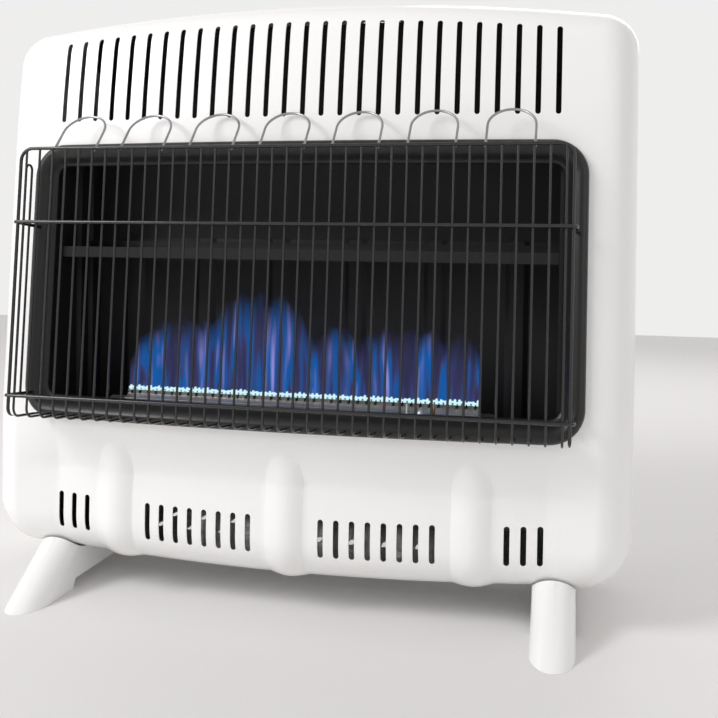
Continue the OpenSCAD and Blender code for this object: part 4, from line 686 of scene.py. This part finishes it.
def make_cabinet():
    """The wrap-round sheet behind the front, with the grille, the tray's window and the openings
    below."""
    sides = ((0, Y_SEAM), (0, Y_BACK), (SHEET, Y_BACK), (SHEET, Y_SEAM))
    shell = ring_body("enamelled_cabinet", [outline_ring(inset, y) for inset, y in sides])
    grille = np.column_stack([GRILLE_X + spaced(GRILLE_N, TOP_PITCH), np.full(GRILLE_N, TRAY_Y)])
    under = FOOT_X - FOOT_W / 2 - CLEAR
    low, high = HEIGHT - TOP_ARCH - OVER, HEIGHT + OVER
    hole, hole_top = 2 * GAS_HOLE_R, Z_LOW + BOTTOM_CORNER / 2
    cut(
        shell,
        stadiums(grille, GRILLE_W, GRILLE_L, low, high, along="y"),
        block(
            (-under, Y_SEAM - 2 * OVER, Z_LOW - OVER),
            (under, Y_BACK + 2 * OVER, Z_LOW + BOTTOM_BOW + 3 * OVER),
        ),
        block(
            (TRAY_X - TRAY_W / 2, TRAY_Y - TRAY_D / 2, low),
            (TRAY_X + TRAY_W / 2, TRAY_Y + TRAY_D / 2, high),
        ),
        stadiums([[GAS_X, GAS_Y]], hole, hole + ROUND_EXTRA, 0.0, hole_top, along="y"),
    )
    return dress(shell, "white_enamel", "root", "cabinet_shell")


# The bezel's section: shares of its reach inwards against shares of how far it stands proud
BEZEL_SHARES = np.array(
    [[0, 0.02], [0.04, 0.62], [0.16, 1], [0.36, 1], [0.6, 0.5], [0.85, -0.55], [1, -1]]
)
# How far the section's back stays from its outer and inner edge
BEZEL_EDGES = 0.4, 0.2


def bezel_section(steps):
    """The bezel's section, distance inwards against depth: a smooth curve through its corner
    points, whose slope at each is the mean of the slopes beside it."""
    corners = np.vstack([BEZEL_SHARES * [BEZEL_REACH, -BEZEL_PROUD], [BEZEL_REACH, BEZEL_LIP]])
    slope = np.gradient(corners, axis=0)
    slope[0], slope[-1] = corners[1] - corners[0], corners[-1] - corners[-2]
    t = np.linspace(0, 1, steps, endpoint=False)[None, :, None]
    p, q, m, n = corners[:-1, None], corners[1:, None], slope[:-1, None], slope[1:, None]
    curve = (
        (2 * t**3 - 3 * t**2 + 1) * p
        + (t**3 - 2 * t**2 + t) * m
        + (3 * t**2 - 2 * t**3) * q
        + (t**3 - t**2) * n
    )
    return np.vstack([curve.reshape(-1, 2), corners[-1:]])


def make_bezel():
    """The black frame round the opening, rolled inwards to a lip."""
    line = window_line(
        OPEN_W + 2 * BEZEL_LAP, OPEN_Z - BEZEL_LAP, OPEN_TOP + BEZEL_LAP, OPEN_R + BEZEL_LAP
    )
    front = bezel_section(BEZEL_STEPS)
    step = unit(np.gradient(front, axis=0))
    back = front + SHEET * np.column_stack([-step[:, 1], step[:, 0]])
    back[:, 0] = np.clip(back[:, 0], BEZEL_EDGES[0], BEZEL_REACH - BEZEL_EDGES[1])

    def ring(q):
        """The ring that a point of the section draws round the opening."""
        x, z = line[:, 0] - line[:, 2] * q[0], line[:, 1] - line[:, 3] * q[0]
        return np.column_stack([x, face_at(x, z) + q[1] - CLEAR / 2, z])

    bezel = ring_body("black_bezel", [ring(q) for q in front] + [ring(q) for q in back[::-1]])
    return dress(bezel, "black_enamel", "root", "bezel")


# The guard stands in a plane of its own, leaning with the panel; its origin is on the bottom rod.
GUARD_Z, GUARD_Y = OPEN_Z + GUARD_LIFT, Y_FACE - GUARD_GAP
ROD_R, WIRE_R = ROD_D / 2, WIRE_D / 2
FRAME_X = GUARD_W / 2 - ROD_R
WIRE_PITCH = 2 * (FRAME_X - ROD_R - WIRE_R - ROD_D) / (WIRES - 1)
GUARD_BEND, FRAME_BEND, U_BEND = 11.0, 14.0, 7.0
# Hairpins: half their width, their drop from the guard's top and how far behind it they start
PIN_HALF, PIN_DROP, PIN_BACK = 6.0, 22.0, 13.0
RIM_INSET = BEZEL_REACH / 4
GUARD_FOOT = (
    GUARD_Z - GUARD_GAP * math.sin(LEAN_ANGLE) - (OPEN_Z - BEZEL_LAP) - RIM_INSET
) / math.cos(LEAN_ANGLE)
GUARD_DROP = GUARD_FOOT - GUARD_BEND
FRAME_Y = ROD_R - WIRE_R
U_X = FRAME_X + ROD_D - BITE
ROD_OFF = ROD_R + WIRE_R - BITE


def guard_place(points):
    """Points of the guard's own plane, leaned back and moved to the bottom rod's place."""
    c, s = math.cos(LEAN_ANGLE), math.sin(LEAN_ANGLE)
    x, y, z = np.moveaxis(np.asarray(points, float), -1, 0)
    return np.stack([x, GUARD_Y + y * c + z * s, GUARD_Z - y * s + z * c], -1)


def seat_at(x, z, inset):
    """Depth in the guard's plane at which a member at x and z meets the bezel."""
    height = GUARD_Z + z * math.cos(LEAN_ANGLE) - GUARD_GAP * math.sin(LEAN_ANGLE)
    proud = BEZEL_PROUD * np.interp(inset / BEZEL_REACH, *BEZEL_SHARES.T) + CLEAR / 2
    return (face_at(x, height) - proud - GUARD_Y - z * math.sin(LEAN_ANGLE)) / math.cos(LEAN_ANGLE)


def bent(x, top):
    """Side line of an upright from its top to the bend at its foot and back to the bezel."""
    a = np.radians(np.linspace(0, 90, 10))
    seat = seat_at(x, -GUARD_FOOT, RIM_INSET) - CLEAR
    y = np.concatenate([[0, 0], GUARD_BEND * (1 - np.cos(a)), [seat]])
    z = np.concatenate([[top, top / 2], -GUARD_DROP - GUARD_BEND * np.sin(a), [-GUARD_FOOT]])
    return np.column_stack([np.full_like(y, x), y, z])


def mirrored(half, z):
    """A path from its right half: over the middle at height z and back on the left."""
    return np.vstack([half, [[0, 0, z]], half[::-1] * [-1, 1, 1]])


def make_guard():
    """The black wire guard: uprights, frame, two rods, a hairpin in each side and the bright
    loops that stand on its top."""
    paths = [bent(x, GUARD_H - ROD_R + BITE) for x in spaced(WIRES, WIRE_PITCH)]
    dress(tubes("guard_uprights", guard_place(paths), WIRE_R), "black_wire", "root", "guard_wires")

    side = bent(FRAME_X, GUARD_H - FRAME_BEND)[::-1]
    a = np.radians(np.linspace(0, 90, 12))[1:]
    x, z = FRAME_X - FRAME_BEND * (1 - np.cos(a)), GUARD_H - FRAME_BEND + FRAME_BEND * np.sin(a)
    half = np.vstack([side, np.column_stack([x, np.zeros_like(a), z])])
    path = mirrored(half, GUARD_H) + [0, FRAME_Y, 0]
    dress(tubes("guard_outer_frame", guard_place([path]), ROD_R), "black_wire", "root", "guard_frame")

    rods = []
    x, y = U_X - U_BEND * (1 - np.cos(a)), U_BEND * (1 - np.sin(a))
    inset = (OPEN_W + 2 * BEZEL_LAP) / 2 - U_X - ROD_R
    for z in (0.0, GUARD_MID):
        end = [[U_X, seat_at(U_X, z, inset) + ROD_OFF - CLEAR, z], [U_X, U_BEND, z]]
        half = np.vstack([end, np.column_stack([x, y, np.full_like(a, z)])])
        rods.append(mirrored(half, z) - [0, ROD_OFF, 0])
    dress(tubes("guard_cross_rods", guard_place(rods), ROD_R), "black_wire", "root", "guard_rods")

    x = U_X - ROD_R - WIRE_R + BITE
    a = np.radians(np.linspace(0, 180, 16))
    y = PIN_BACK + PIN_HALF + PIN_HALF * np.cos(a)
    y = np.concatenate([[PIN_BACK + 2 * PIN_HALF], y, [PIN_BACK]])
    z = np.concatenate([[-ROD_D], GUARD_H - PIN_DROP + PIN_HALF * np.sin(a), [-ROD_D]])
    pins = [np.column_stack([np.full_like(y, end), y, z]) for end in (-x, x)]
    dress(tubes("guard_hairpins", guard_place(pins), WIRE_R), "black_wire", "root", "guard_side_wires")

    half = LOOP_SPAN * WIRE_PITCH / 2
    long = math.hypot(LOOP_LEAN, LOOP_RISE)
    lean = math.atan2(LOOP_LEAN, LOOP_RISE)
    flat = np.vstack(
        [
            [[half, -WIRE_R], [half, (long - half) / 2]],
            np.column_stack([half * np.cos(a), long - half + half * np.sin(a)]),
            [[-half, (long - half) / 2], [-half, -WIRE_R]],
        ]
    )
    x, rise = flat.T
    y = FRAME_Y + ROD_OFF * math.cos(lean) + rise * math.sin(lean)
    z = GUARD_H - ROD_OFF * math.sin(lean) + rise * math.cos(lean)
    loops = [np.column_stack([x + shift, y, z]) for shift in spaced(LOOPS, LOOP_STEP) * WIRE_PITCH]
    dress(tubes("guard_top_loops", guard_place(loops), WIRE_R), "bright_wire", "root", "guard_loops")


def veil_material(look):
    """See-through flame on UV coordinates: streaks that stand upright pick the colour, from a
    faint grey veil over blue to pale violet, and the veil fades out at its tip."""
    material = bare_material("flame_veil")
    tree = material.node_tree
    new, link = tree.nodes.new, tree.links.new
    kinds = ("TexCoord", "SeparateXYZ", "Mapping", "TexNoise")
    place, split, stretch, noise = (new("ShaderNode" + kind) for kind in kinds)
    link(place.outputs["UV"], split.inputs["Vector"])
    stretch.inputs["Scale"].default_value = (34.0, 0.6, 1.0)
    link(place.outputs["UV"], stretch.inputs["Vector"])
    noise.inputs["Scale"].default_value = 1.0
    noise.inputs["Detail"].default_value = 1.5
    link(stretch.outputs["Vector"], noise.inputs["Vector"])
    blue, violet = tuple(look.flame_blue), tuple(look.flame_violet)
    stops = [
        (0.4, (*shade(violet, 0.22), 0.45)),
        (0.49, (*shade(violet, 0.3), 0.55)),
        (0.54, (*blue, 0.9)),
        (0.6, (*blue, 0.95)),
        (0.66, (*violet, 0.9)),
        (0.74, (*shade(violet, 2.0), 0.9)),
    ]
    streaks = ramp_node(tree, noise.outputs["Fac"], stops)
    levels = ((0.0, 0.75), (0.1, 0.95), (0.6, 0.8), (1.0, 0.0))
    fade = ramp_node(tree, split.outputs["Y"], [(at, (1, 1, 1, alpha)) for at, alpha in levels])
    thick = new("ShaderNodeMath")
    thick.operation = "MULTIPLY"
    link(streaks.outputs["Alpha"], thick.inputs[0])
    link(fade.outputs["Alpha"], thick.inputs[1])
    kinds = ("Emission", "BsdfTransparent", "MixShader", "OutputMaterial")
    glow, clear, mix, out = (new("ShaderNode" + kind) for kind in kinds)
    glow.inputs["Strength"].default_value = look.flame_glow
    link(streaks.outputs["Color"], glow.inputs["Color"])
    link(thick.outputs["Value"], mix.inputs["Fac"])
    link(clear.outputs["BSDF"], mix.inputs[1])
    link(glow.outputs["Emission"], mix.inputs[2])
    link(mix.outputs["Shader"], out.inputs["Surface"])
    return material


STRIP_HALF = BURNER_L / 2 - 2 * MOUTH_R + THROAT_R + 1.5 * SHEET
# Height of the flames' upper edge over the ports, at shares of the burner's half length
FLAME_X = [
    -1, -0.96, -0.86, -0.72, -0.54, -0.46, -0.41, -0.2, -0.01,
    0.065, 0.19, 0.35, 0.44, 0.56, 0.76, 0.8, 0.9, 0.97, 1,
]
FLAME_H = [30, 57, 76, 92, 84, 96, 118, 122, 114, 64, 92, 68, 82, 86, 84, 72, 84, 76, 40]
# Columns and rows of a veil, and how far before and behind the ports the two veils start
VEIL_COLS, VEIL_ROWS, VEIL_SHIFT = 360, 16, 3.5
# Teeth: half width, least height, how much higher they may be, and points round and up each
TOOTH_W, TOOTH_H, TOOTH_MORE = 1.9, 5.0, 2.5
TOOTH_SIDES, TOOTH_LEVELS = 8, (0.0, 0.5, 0.85, 1.0)
# The pilot's flame: its foot, half width and height
PILOT_AT, PILOT_W, PILOT_H = (150.0, -62.95, 231.0), 2.6, 10.0
# The bright ribbon at the teeth: before the ports' middle, over the ports, and its height
RIBBON_FRONT, RIBBON_LIFT, RIBBON_H = 4.0, 1.6, 2.4


def column(foot, width, height):
    """A stubby flame column: a rounded body of rings, half as deep again as it is wide."""
    turn, level = np.meshgrid(
        np.linspace(0, 2 * math.pi, TOOTH_SIDES, endpoint=False), np.array(TOOTH_LEVELS)
    )
    radius = np.sqrt(np.maximum(0, 1 - level**6)) + 0.02
    x, y, z = foot
    return np.stack(
        [
            x + width * radius * np.cos(turn),
            y + 1.5 * width * radius * np.sin(turn),
            z + height * level,
        ],
        -1,
    )


def sheet(x, y, z):
    """Points of a grid from arrays that are spread over each other."""
    return np.stack(np.broadcast_arrays(x, y, z), -1).reshape(-1, 3)


def make_flames():
    """The row of blue flames: two veils whose upper edge rises and falls in lumps, made wavy by
    sines of the place along the burner, bright teeth at the ports and the pilot's small flame."""
    look = bpy.context.scene.heater_look
    rng = np.random.default_rng(7)
    x = np.linspace(-STRIP_HALF, STRIP_HALF, VEIL_COLS)
    v = np.linspace(0, 1, VEIL_ROWS)[:, None]
    padded = np.pad(np.interp(x / STRIP_HALF, FLAME_X, FLAME_H), 12, mode="edge")
    height = np.convolve(padded, bell(12, 5.0), mode="valid")
    veils, uvs, faces = [], [], []
    for k, (shift, lift) in enumerate(((-VEIL_SHIFT, 1.0), (VEIL_SHIFT, 0.92))):
        rise = height * lift * look.flame_height * (1 + 0.035 * np.sin(x / 4.1 + 2 * k))
        px = x + 2.5 * np.sin(x / 23.0 + 2 * k) * v**1.5
        py = FEED_Y + shift * (1 - 0.5 * v) + 1.5 * np.sin(x / 13.0 + k) * v
        veils.append(sheet(px, py, PORT_Z + 0.5 + rise * v))
        uvs.append(sheet(x / STRIP_HALF / 2 + 3 * k, v, 0)[:, :2])
        start = k * VEIL_ROWS * VEIL_COLS
        faces.append(grid_faces(VEIL_ROWS, VEIL_COLS, wrap_cols=False, start=start))
    veil = mesh_object("flames", np.vstack(veils), np.vstack(faces), np.vstack(uvs))
    veil.data.materials.append(veil_material(look))
    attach(veil, "root")

    # Teeth at the ports: stubby columns with a flat top, tied by a low bright ribbon
    count = 2 * PORTS
    teeth = [
        column((at, FEED_Y - 2.0, PORT_Z - 0.5), TOOTH_W, TOOTH_H + TOOTH_MORE * rng.random())
        for at in spaced(count, 2) * STRIP_HALF / count
    ]
    teeth.append(column(PILOT_AT, PILOT_W, PILOT_H))
    rows = len(TOOTH_LEVELS)
    each = rows * TOOTH_SIDES
    faces = [grid_faces(rows, TOOTH_SIDES, start=i * each) for i in range(len(teeth))]
    faces.append(grid_faces(2, VEIL_COLS, wrap_cols=False, start=each * len(teeth)))
    low = sheet(x, FEED_Y - RIBBON_FRONT, PORT_Z + RIBBON_LIFT + 0.6 * np.sin(x / 1.7))
    points = np.vstack([np.stack(teeth).reshape(-1, 3), low, low + [0, 0, RIBBON_H]])
    tips = mesh_object("port_flames", points, np.vstack(faces))
    tips.data.materials.append(glow_material("flame_core", tuple(look.flame_core)))
    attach(tips, "root")


# Edge rounding in millimetres of the CAD nodes that are shown as finished copies
ROUNDED = dict(
    foot_left=3.0, foot_right=3.0, control_tray=0.5, back_panel=0.3, bottom_pan=0.25,
    partition_left=0.3, partition_right=0.3, firebox_floor=0.3, firebox_back=0.3, firebox_hood=0.3,
    upper_baffle=0.3, heat_shield=0.3, burner_tube=0.4, port_strip=0.25, burner_brackets=0.3,
    injector_holder=0.5, injector=0.3, pilot_bracket=0.3, pilot_burner=0.3, gas_valve=0.9,
    valve_bonnet=0.4, bonnet_nut=0.5, drive_bush=0.3, knob_spindle=0.3, control_knob=0.5,
    valve_bracket=0.3, ignitor_body=0.5, ignitor_nut=0.5, ignitor_button=0.5, regulator=0.9,
    regulator_bracket=0.3, tube_nuts=0.4, bulb_clips=0.25, foot_screws=0.3, panel_screws=0.3,
    back_screws=0.3, tray_screws=0.3, spark_electrode=0.3,
)
# Tubes: the radius of each, whose coarse sides are smoothed and drawn back out to it
ROUND_TUBES = {"supply_tube": 4.75, "burner_feed": 4.0, "pilot_tube": 2.0, "ignitor_lead": 1.5}
# The share of a tube's radius that smoothing takes away
SWELL = 0.09
# Firebox pieces, given an enamel darker and more matt than the black: the darker colour is painted
# shade of the deep firebox
SHADE_PAINTED_FIREBOX = (
    "partition_left", "partition_right", "firebox_floor", "firebox_back", "firebox_hood",
    "upper_baffle",
)
# Lines that are only merged and smoothed
PLAIN = ("thermocouple", "thermostat_bulb")
# Springs: the joint that presses each, and its travel in metres
SPRINGS = {"knob_spring": ("knob_press", 0.005), "ignitor_spring": ("ignitor_press", 0.006)}


def make_fittings():
    """Finished copies of the sheet parts, castings, nuts, controls and screws."""
    for node, width in ROUNDED.items():
        obj = finished_copy(node, width)
        # the firebox pieces take the enamel darkened as painted shade
        if node in SHADE_PAINTED_FIREBOX:
            obj.data.materials[0] = finish_of("sooted_enamel")
    for node in PLAIN:
        finished_copy(node)
    for node, (joint, travel) in SPRINGS.items():
        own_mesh(finished_copy(node))


def make_tubes():
    """Gas tubes and the ignitor's lead, smoothed from the CAD's coarse sides."""
    for node, radius in ROUND_TUBES.items():
        obj = finished_copy(node)
        round_off = obj.modifiers.new("round", "SUBSURF")
        round_off.levels = round_off.render_levels = 2
        swell = obj.modifiers.new("swell", "DISPLACE")
        swell.strength, swell.mid_level = SWELL * radius * MM, 0.0


# Stage

# The camera of the photograph: its place, turn and lens were solved from known points.
LENS, SHIFT_Y = 46.85, -0.125
CAMERA_AT, YAW, PITCH, ROLL = (0.3066, Y_FACE * MM - 1.0004, 0.4198), 0.2167, -0.0192, 0.0143
# Lights: place, the point that each faces, size in metres and power in watts
LIGHTS = {
    "key_light": ((-1.9, -1.7, 1.9), (0, 0, 0.4), 1.1, 50),
    "fill_light": ((2.1, -1.5, 0.9), (0, 0, 0.5), 1.6, 5),
    "rear_light": ((0.6, 2.2, 1.9), (0, 0, 0.4), 1.6, 13),
}
# Half width of floor and backdrop, the backdrop's height and its distance behind the heater
STAGE_HALF, BACKDROP_H, BACKDROP_Y = 9000, 6000, 4000


def area_light(name, at, target, size, power):
    """A soft square light that faces a point."""
    data = bpy.data.lights.new(name, "AREA")
    data.shape, data.size, data.energy = "SQUARE", size, power
    lamp = linked(name, data)
    lamp.location = at
    lamp.rotation_mode = "QUATERNION"
    lamp.rotation_quaternion = (Vector(target) - Vector(at)).to_track_quat("-Z", "Y")
    return lamp


def make_camera():
    """The photograph's camera, turned by yaw, then pitch, then roll."""
    data = bpy.data.cameras.new("photo_camera")
    data.lens, data.sensor_width, data.shift_y = LENS, 36.0, SHIFT_Y
    data.clip_start, data.clip_end = 0.05, 50.0
    camera = linked("photo_camera", data)
    forward = Vector(
        (-math.sin(YAW) * math.cos(PITCH), math.cos(YAW) * math.cos(PITCH), math.sin(PITCH))
    )
    side = Vector((math.cos(YAW), math.sin(YAW), 0.0))
    up = side.cross(forward)
    right = side * math.cos(ROLL) + up * math.sin(ROLL)
    top = up * math.cos(ROLL) - side * math.sin(ROLL)
    axes = Matrix((right, top, -forward)).transposed().to_4x4()
    axes.translation = Vector(CAMERA_AT)
    camera.matrix_world = axes
    bpy.context.scene.camera = camera


def plane(name, y0, z0, y1, z1, material):
    """A wide flat piece of the stage, from its near or lower edge to the other."""
    half = STAGE_HALF
    points = [[-half, y0, z0], [half, y0, z0], [half, y1, z1], [-half, y1, z1]]
    obj = mesh_object(name, np.array(points, float), np.array([[0, 1, 2, 3]]))
    obj.data.materials.append(material)
    return obj


def make_stage():
    """The floor, a glowing backdrop, soft lights, an even sky and the camera."""
    look = bpy.context.scene.heater_look
    matt = Shader("floor", tuple(look.floor), 0.9).material
    floor = plane("floor", -STAGE_HALF, 0, STAGE_HALF, 0, matt)
    glow = glow_material("backdrop", tuple(look.backdrop))
    wall = plane("backdrop", BACKDROP_Y, 0, BACKDROP_Y, BACKDROP_H, glow)
    lamps = [
        area_light(name, at, target, size, power * look.light)
        for name, (at, target, size, power) in LIGHTS.items()
    ]
    world = bpy.data.worlds.new("even_sky")
    world.use_nodes = True
    sky = world.node_tree.nodes["Background"]
    sky.inputs["Color"].default_value = (1.0, 0.972, 0.965, 1.0)
    sky.inputs["Strength"].default_value = look.sky
    bpy.context.scene.world = world
    bpy.context.scene.view_settings.view_transform = "Standard"
    make_camera()


# Add-on


def color_property(name, description, default):
    """A colour whose channels lie between 0 and 1."""
    return bpy.props.FloatVectorProperty(
        name=name, description=description, subtype="COLOR", size=3, min=0, max=1, default=default
    )


class HEATER_PG_look(bpy.types.PropertyGroup):
    """Colours and amounts that a user would change."""

    enamel: color_property("Enamel", "Colour of the white enamel", BASE_COLOR["white_enamel"][:3])
    enamel_roughness: bpy.props.FloatProperty(
        name="Enamel roughness", description="How matt the white enamel is",
        subtype="FACTOR", min=0.05, max=1, default=0.24,
    )
    # the firebox is drawn darker than this black, as painted shade of its recess
    black: color_property(
        "Black enamel", "Colour of the bezel, and of the firebox under its painted shade", (0.0075,) * 3
    )
    wire: color_property("Guard wire", "Colour of the guard's black wire", (0.014,) * 3)
    flame_blue: color_property("Flame, blue", "Colour of the blue streaks", (0.008, 0.105, 0.38))
    flame_violet: color_property("Flame, violet", "Colour of the pale streaks", (0.19, 0.19, 0.55))
    flame_core: color_property(
        "Flame, ports", "Colour of the bright teeth at the ports", (0.62, 0.92, 0.95)
    )
    flame_glow: bpy.props.FloatProperty(
        name="Glow", description="Brightness of the flames", min=0, max=10, default=1.0
    )
    flame_height: bpy.props.FloatProperty(
        name="Flame height", description="Height of the flames over the full flame's",
        subtype="FACTOR", min=0.2, max=1.2, default=1.0,
    )
    floor: color_property("Floor", "Colour of the floor", (0.8, 0.79, 0.785))
    backdrop: color_property("Backdrop", "Colour of the glowing backdrop", (0.86, 0.855, 0.85))
    light: bpy.props.FloatProperty(
        name="Lights", description="Brightness of the soft lights", min=0, max=5, default=1.0
    )
    sky: bpy.props.FloatProperty(
        name="Sky", description="Brightness of the even sky", min=0, max=3, default=0.58
    )


class HEATER_OT_front_panel(bpy.types.Operator):
    """Builds the enamelled front panel"""

    bl_idname = "heater.front_panel"
    bl_label = "Front panel"

    def execute(self, context):
        make_front_panel()
        return {"FINISHED"}


class HEATER_OT_cabinet(bpy.types.Operator):
    """Builds the cabinet behind the front panel"""

    bl_idname = "heater.cabinet"
    bl_label = "Cabinet"

    def execute(self, context):
        make_cabinet()
        return {"FINISHED"}


class HEATER_OT_bezel(bpy.types.Operator):
    """Builds the black bezel round the opening"""

    bl_idname = "heater.bezel"
    bl_label = "Bezel"

    def execute(self, context):
        make_bezel()
        return {"FINISHED"}


class HEATER_OT_guard(bpy.types.Operator):
    """Builds the wire guard and its standing loops"""

    bl_idname = "heater.guard"
    bl_label = "Guard"

    def execute(self, context):
        make_guard()
        return {"FINISHED"}


class HEATER_OT_fittings(bpy.types.Operator):
    """Builds finished copies of the sheet parts, feet, burner, controls and screws"""

    bl_idname = "heater.fittings"
    bl_label = "Fittings"

    def execute(self, context):
        make_fittings()
        return {"FINISHED"}


class HEATER_OT_tubes(bpy.types.Operator):
    """Builds the gas tubes and the ignitor's lead"""

    bl_idname = "heater.tubes"
    bl_label = "Tubes"

    def execute(self, context):
        make_tubes()
        return {"FINISHED"}


class HEATER_OT_flames(bpy.types.Operator):
    """Builds the flames at the burner and the pilot"""

    bl_idname = "heater.flames"
    bl_label = "Flames"

    def execute(self, context):
        make_flames()
        return {"FINISHED"}


class HEATER_OT_stage(bpy.types.Operator):
    """Builds the floor, the lights and the camera"""

    bl_idname = "heater.stage"
    bl_label = "Stage"

    def execute(self, context):
        make_stage()
        return {"FINISHED"}


OPERATORS = (
    HEATER_OT_front_panel,
    HEATER_OT_cabinet,
    HEATER_OT_bezel,
    HEATER_OT_guard,
    HEATER_OT_fittings,
    HEATER_OT_tubes,
    HEATER_OT_flames,
    HEATER_OT_stage,
)


class HEATER_PT_panel(bpy.types.Panel):
    """Lists the looks and the pieces"""

    bl_idname = "HEATER_PT_panel"
    bl_label = "Gas heater"
    bl_space_type = "VIEW_3D"
    bl_region_type = "UI"
    bl_category = "Heater"

    def draw(self, context):
        look = context.scene.heater_look
        for name in look.bl_rna.properties.keys():
            if name not in ("rna_type", "name"):
                self.layout.prop(look, name)
        for operator in OPERATORS:
            self.layout.operator(operator.bl_idname)


CLASSES = (HEATER_PG_look, *OPERATORS, HEATER_PT_panel)


def register():
    for kind in CLASSES:
        bpy.utils.register_class(kind)
    bpy.types.Scene.heater_look = bpy.props.PointerProperty(type=HEATER_PG_look)


def unregister():
    del bpy.types.Scene.heater_look
    for kind in reversed(CLASSES):
        bpy.utils.unregister_class(kind)


def main():
    """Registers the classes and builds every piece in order."""
    register()
    for operator in OPERATORS:
        area, name = operator.bl_idname.split(".")
        getattr(getattr(bpy.ops, area), name)()


if __name__ == "__main__":
    main()
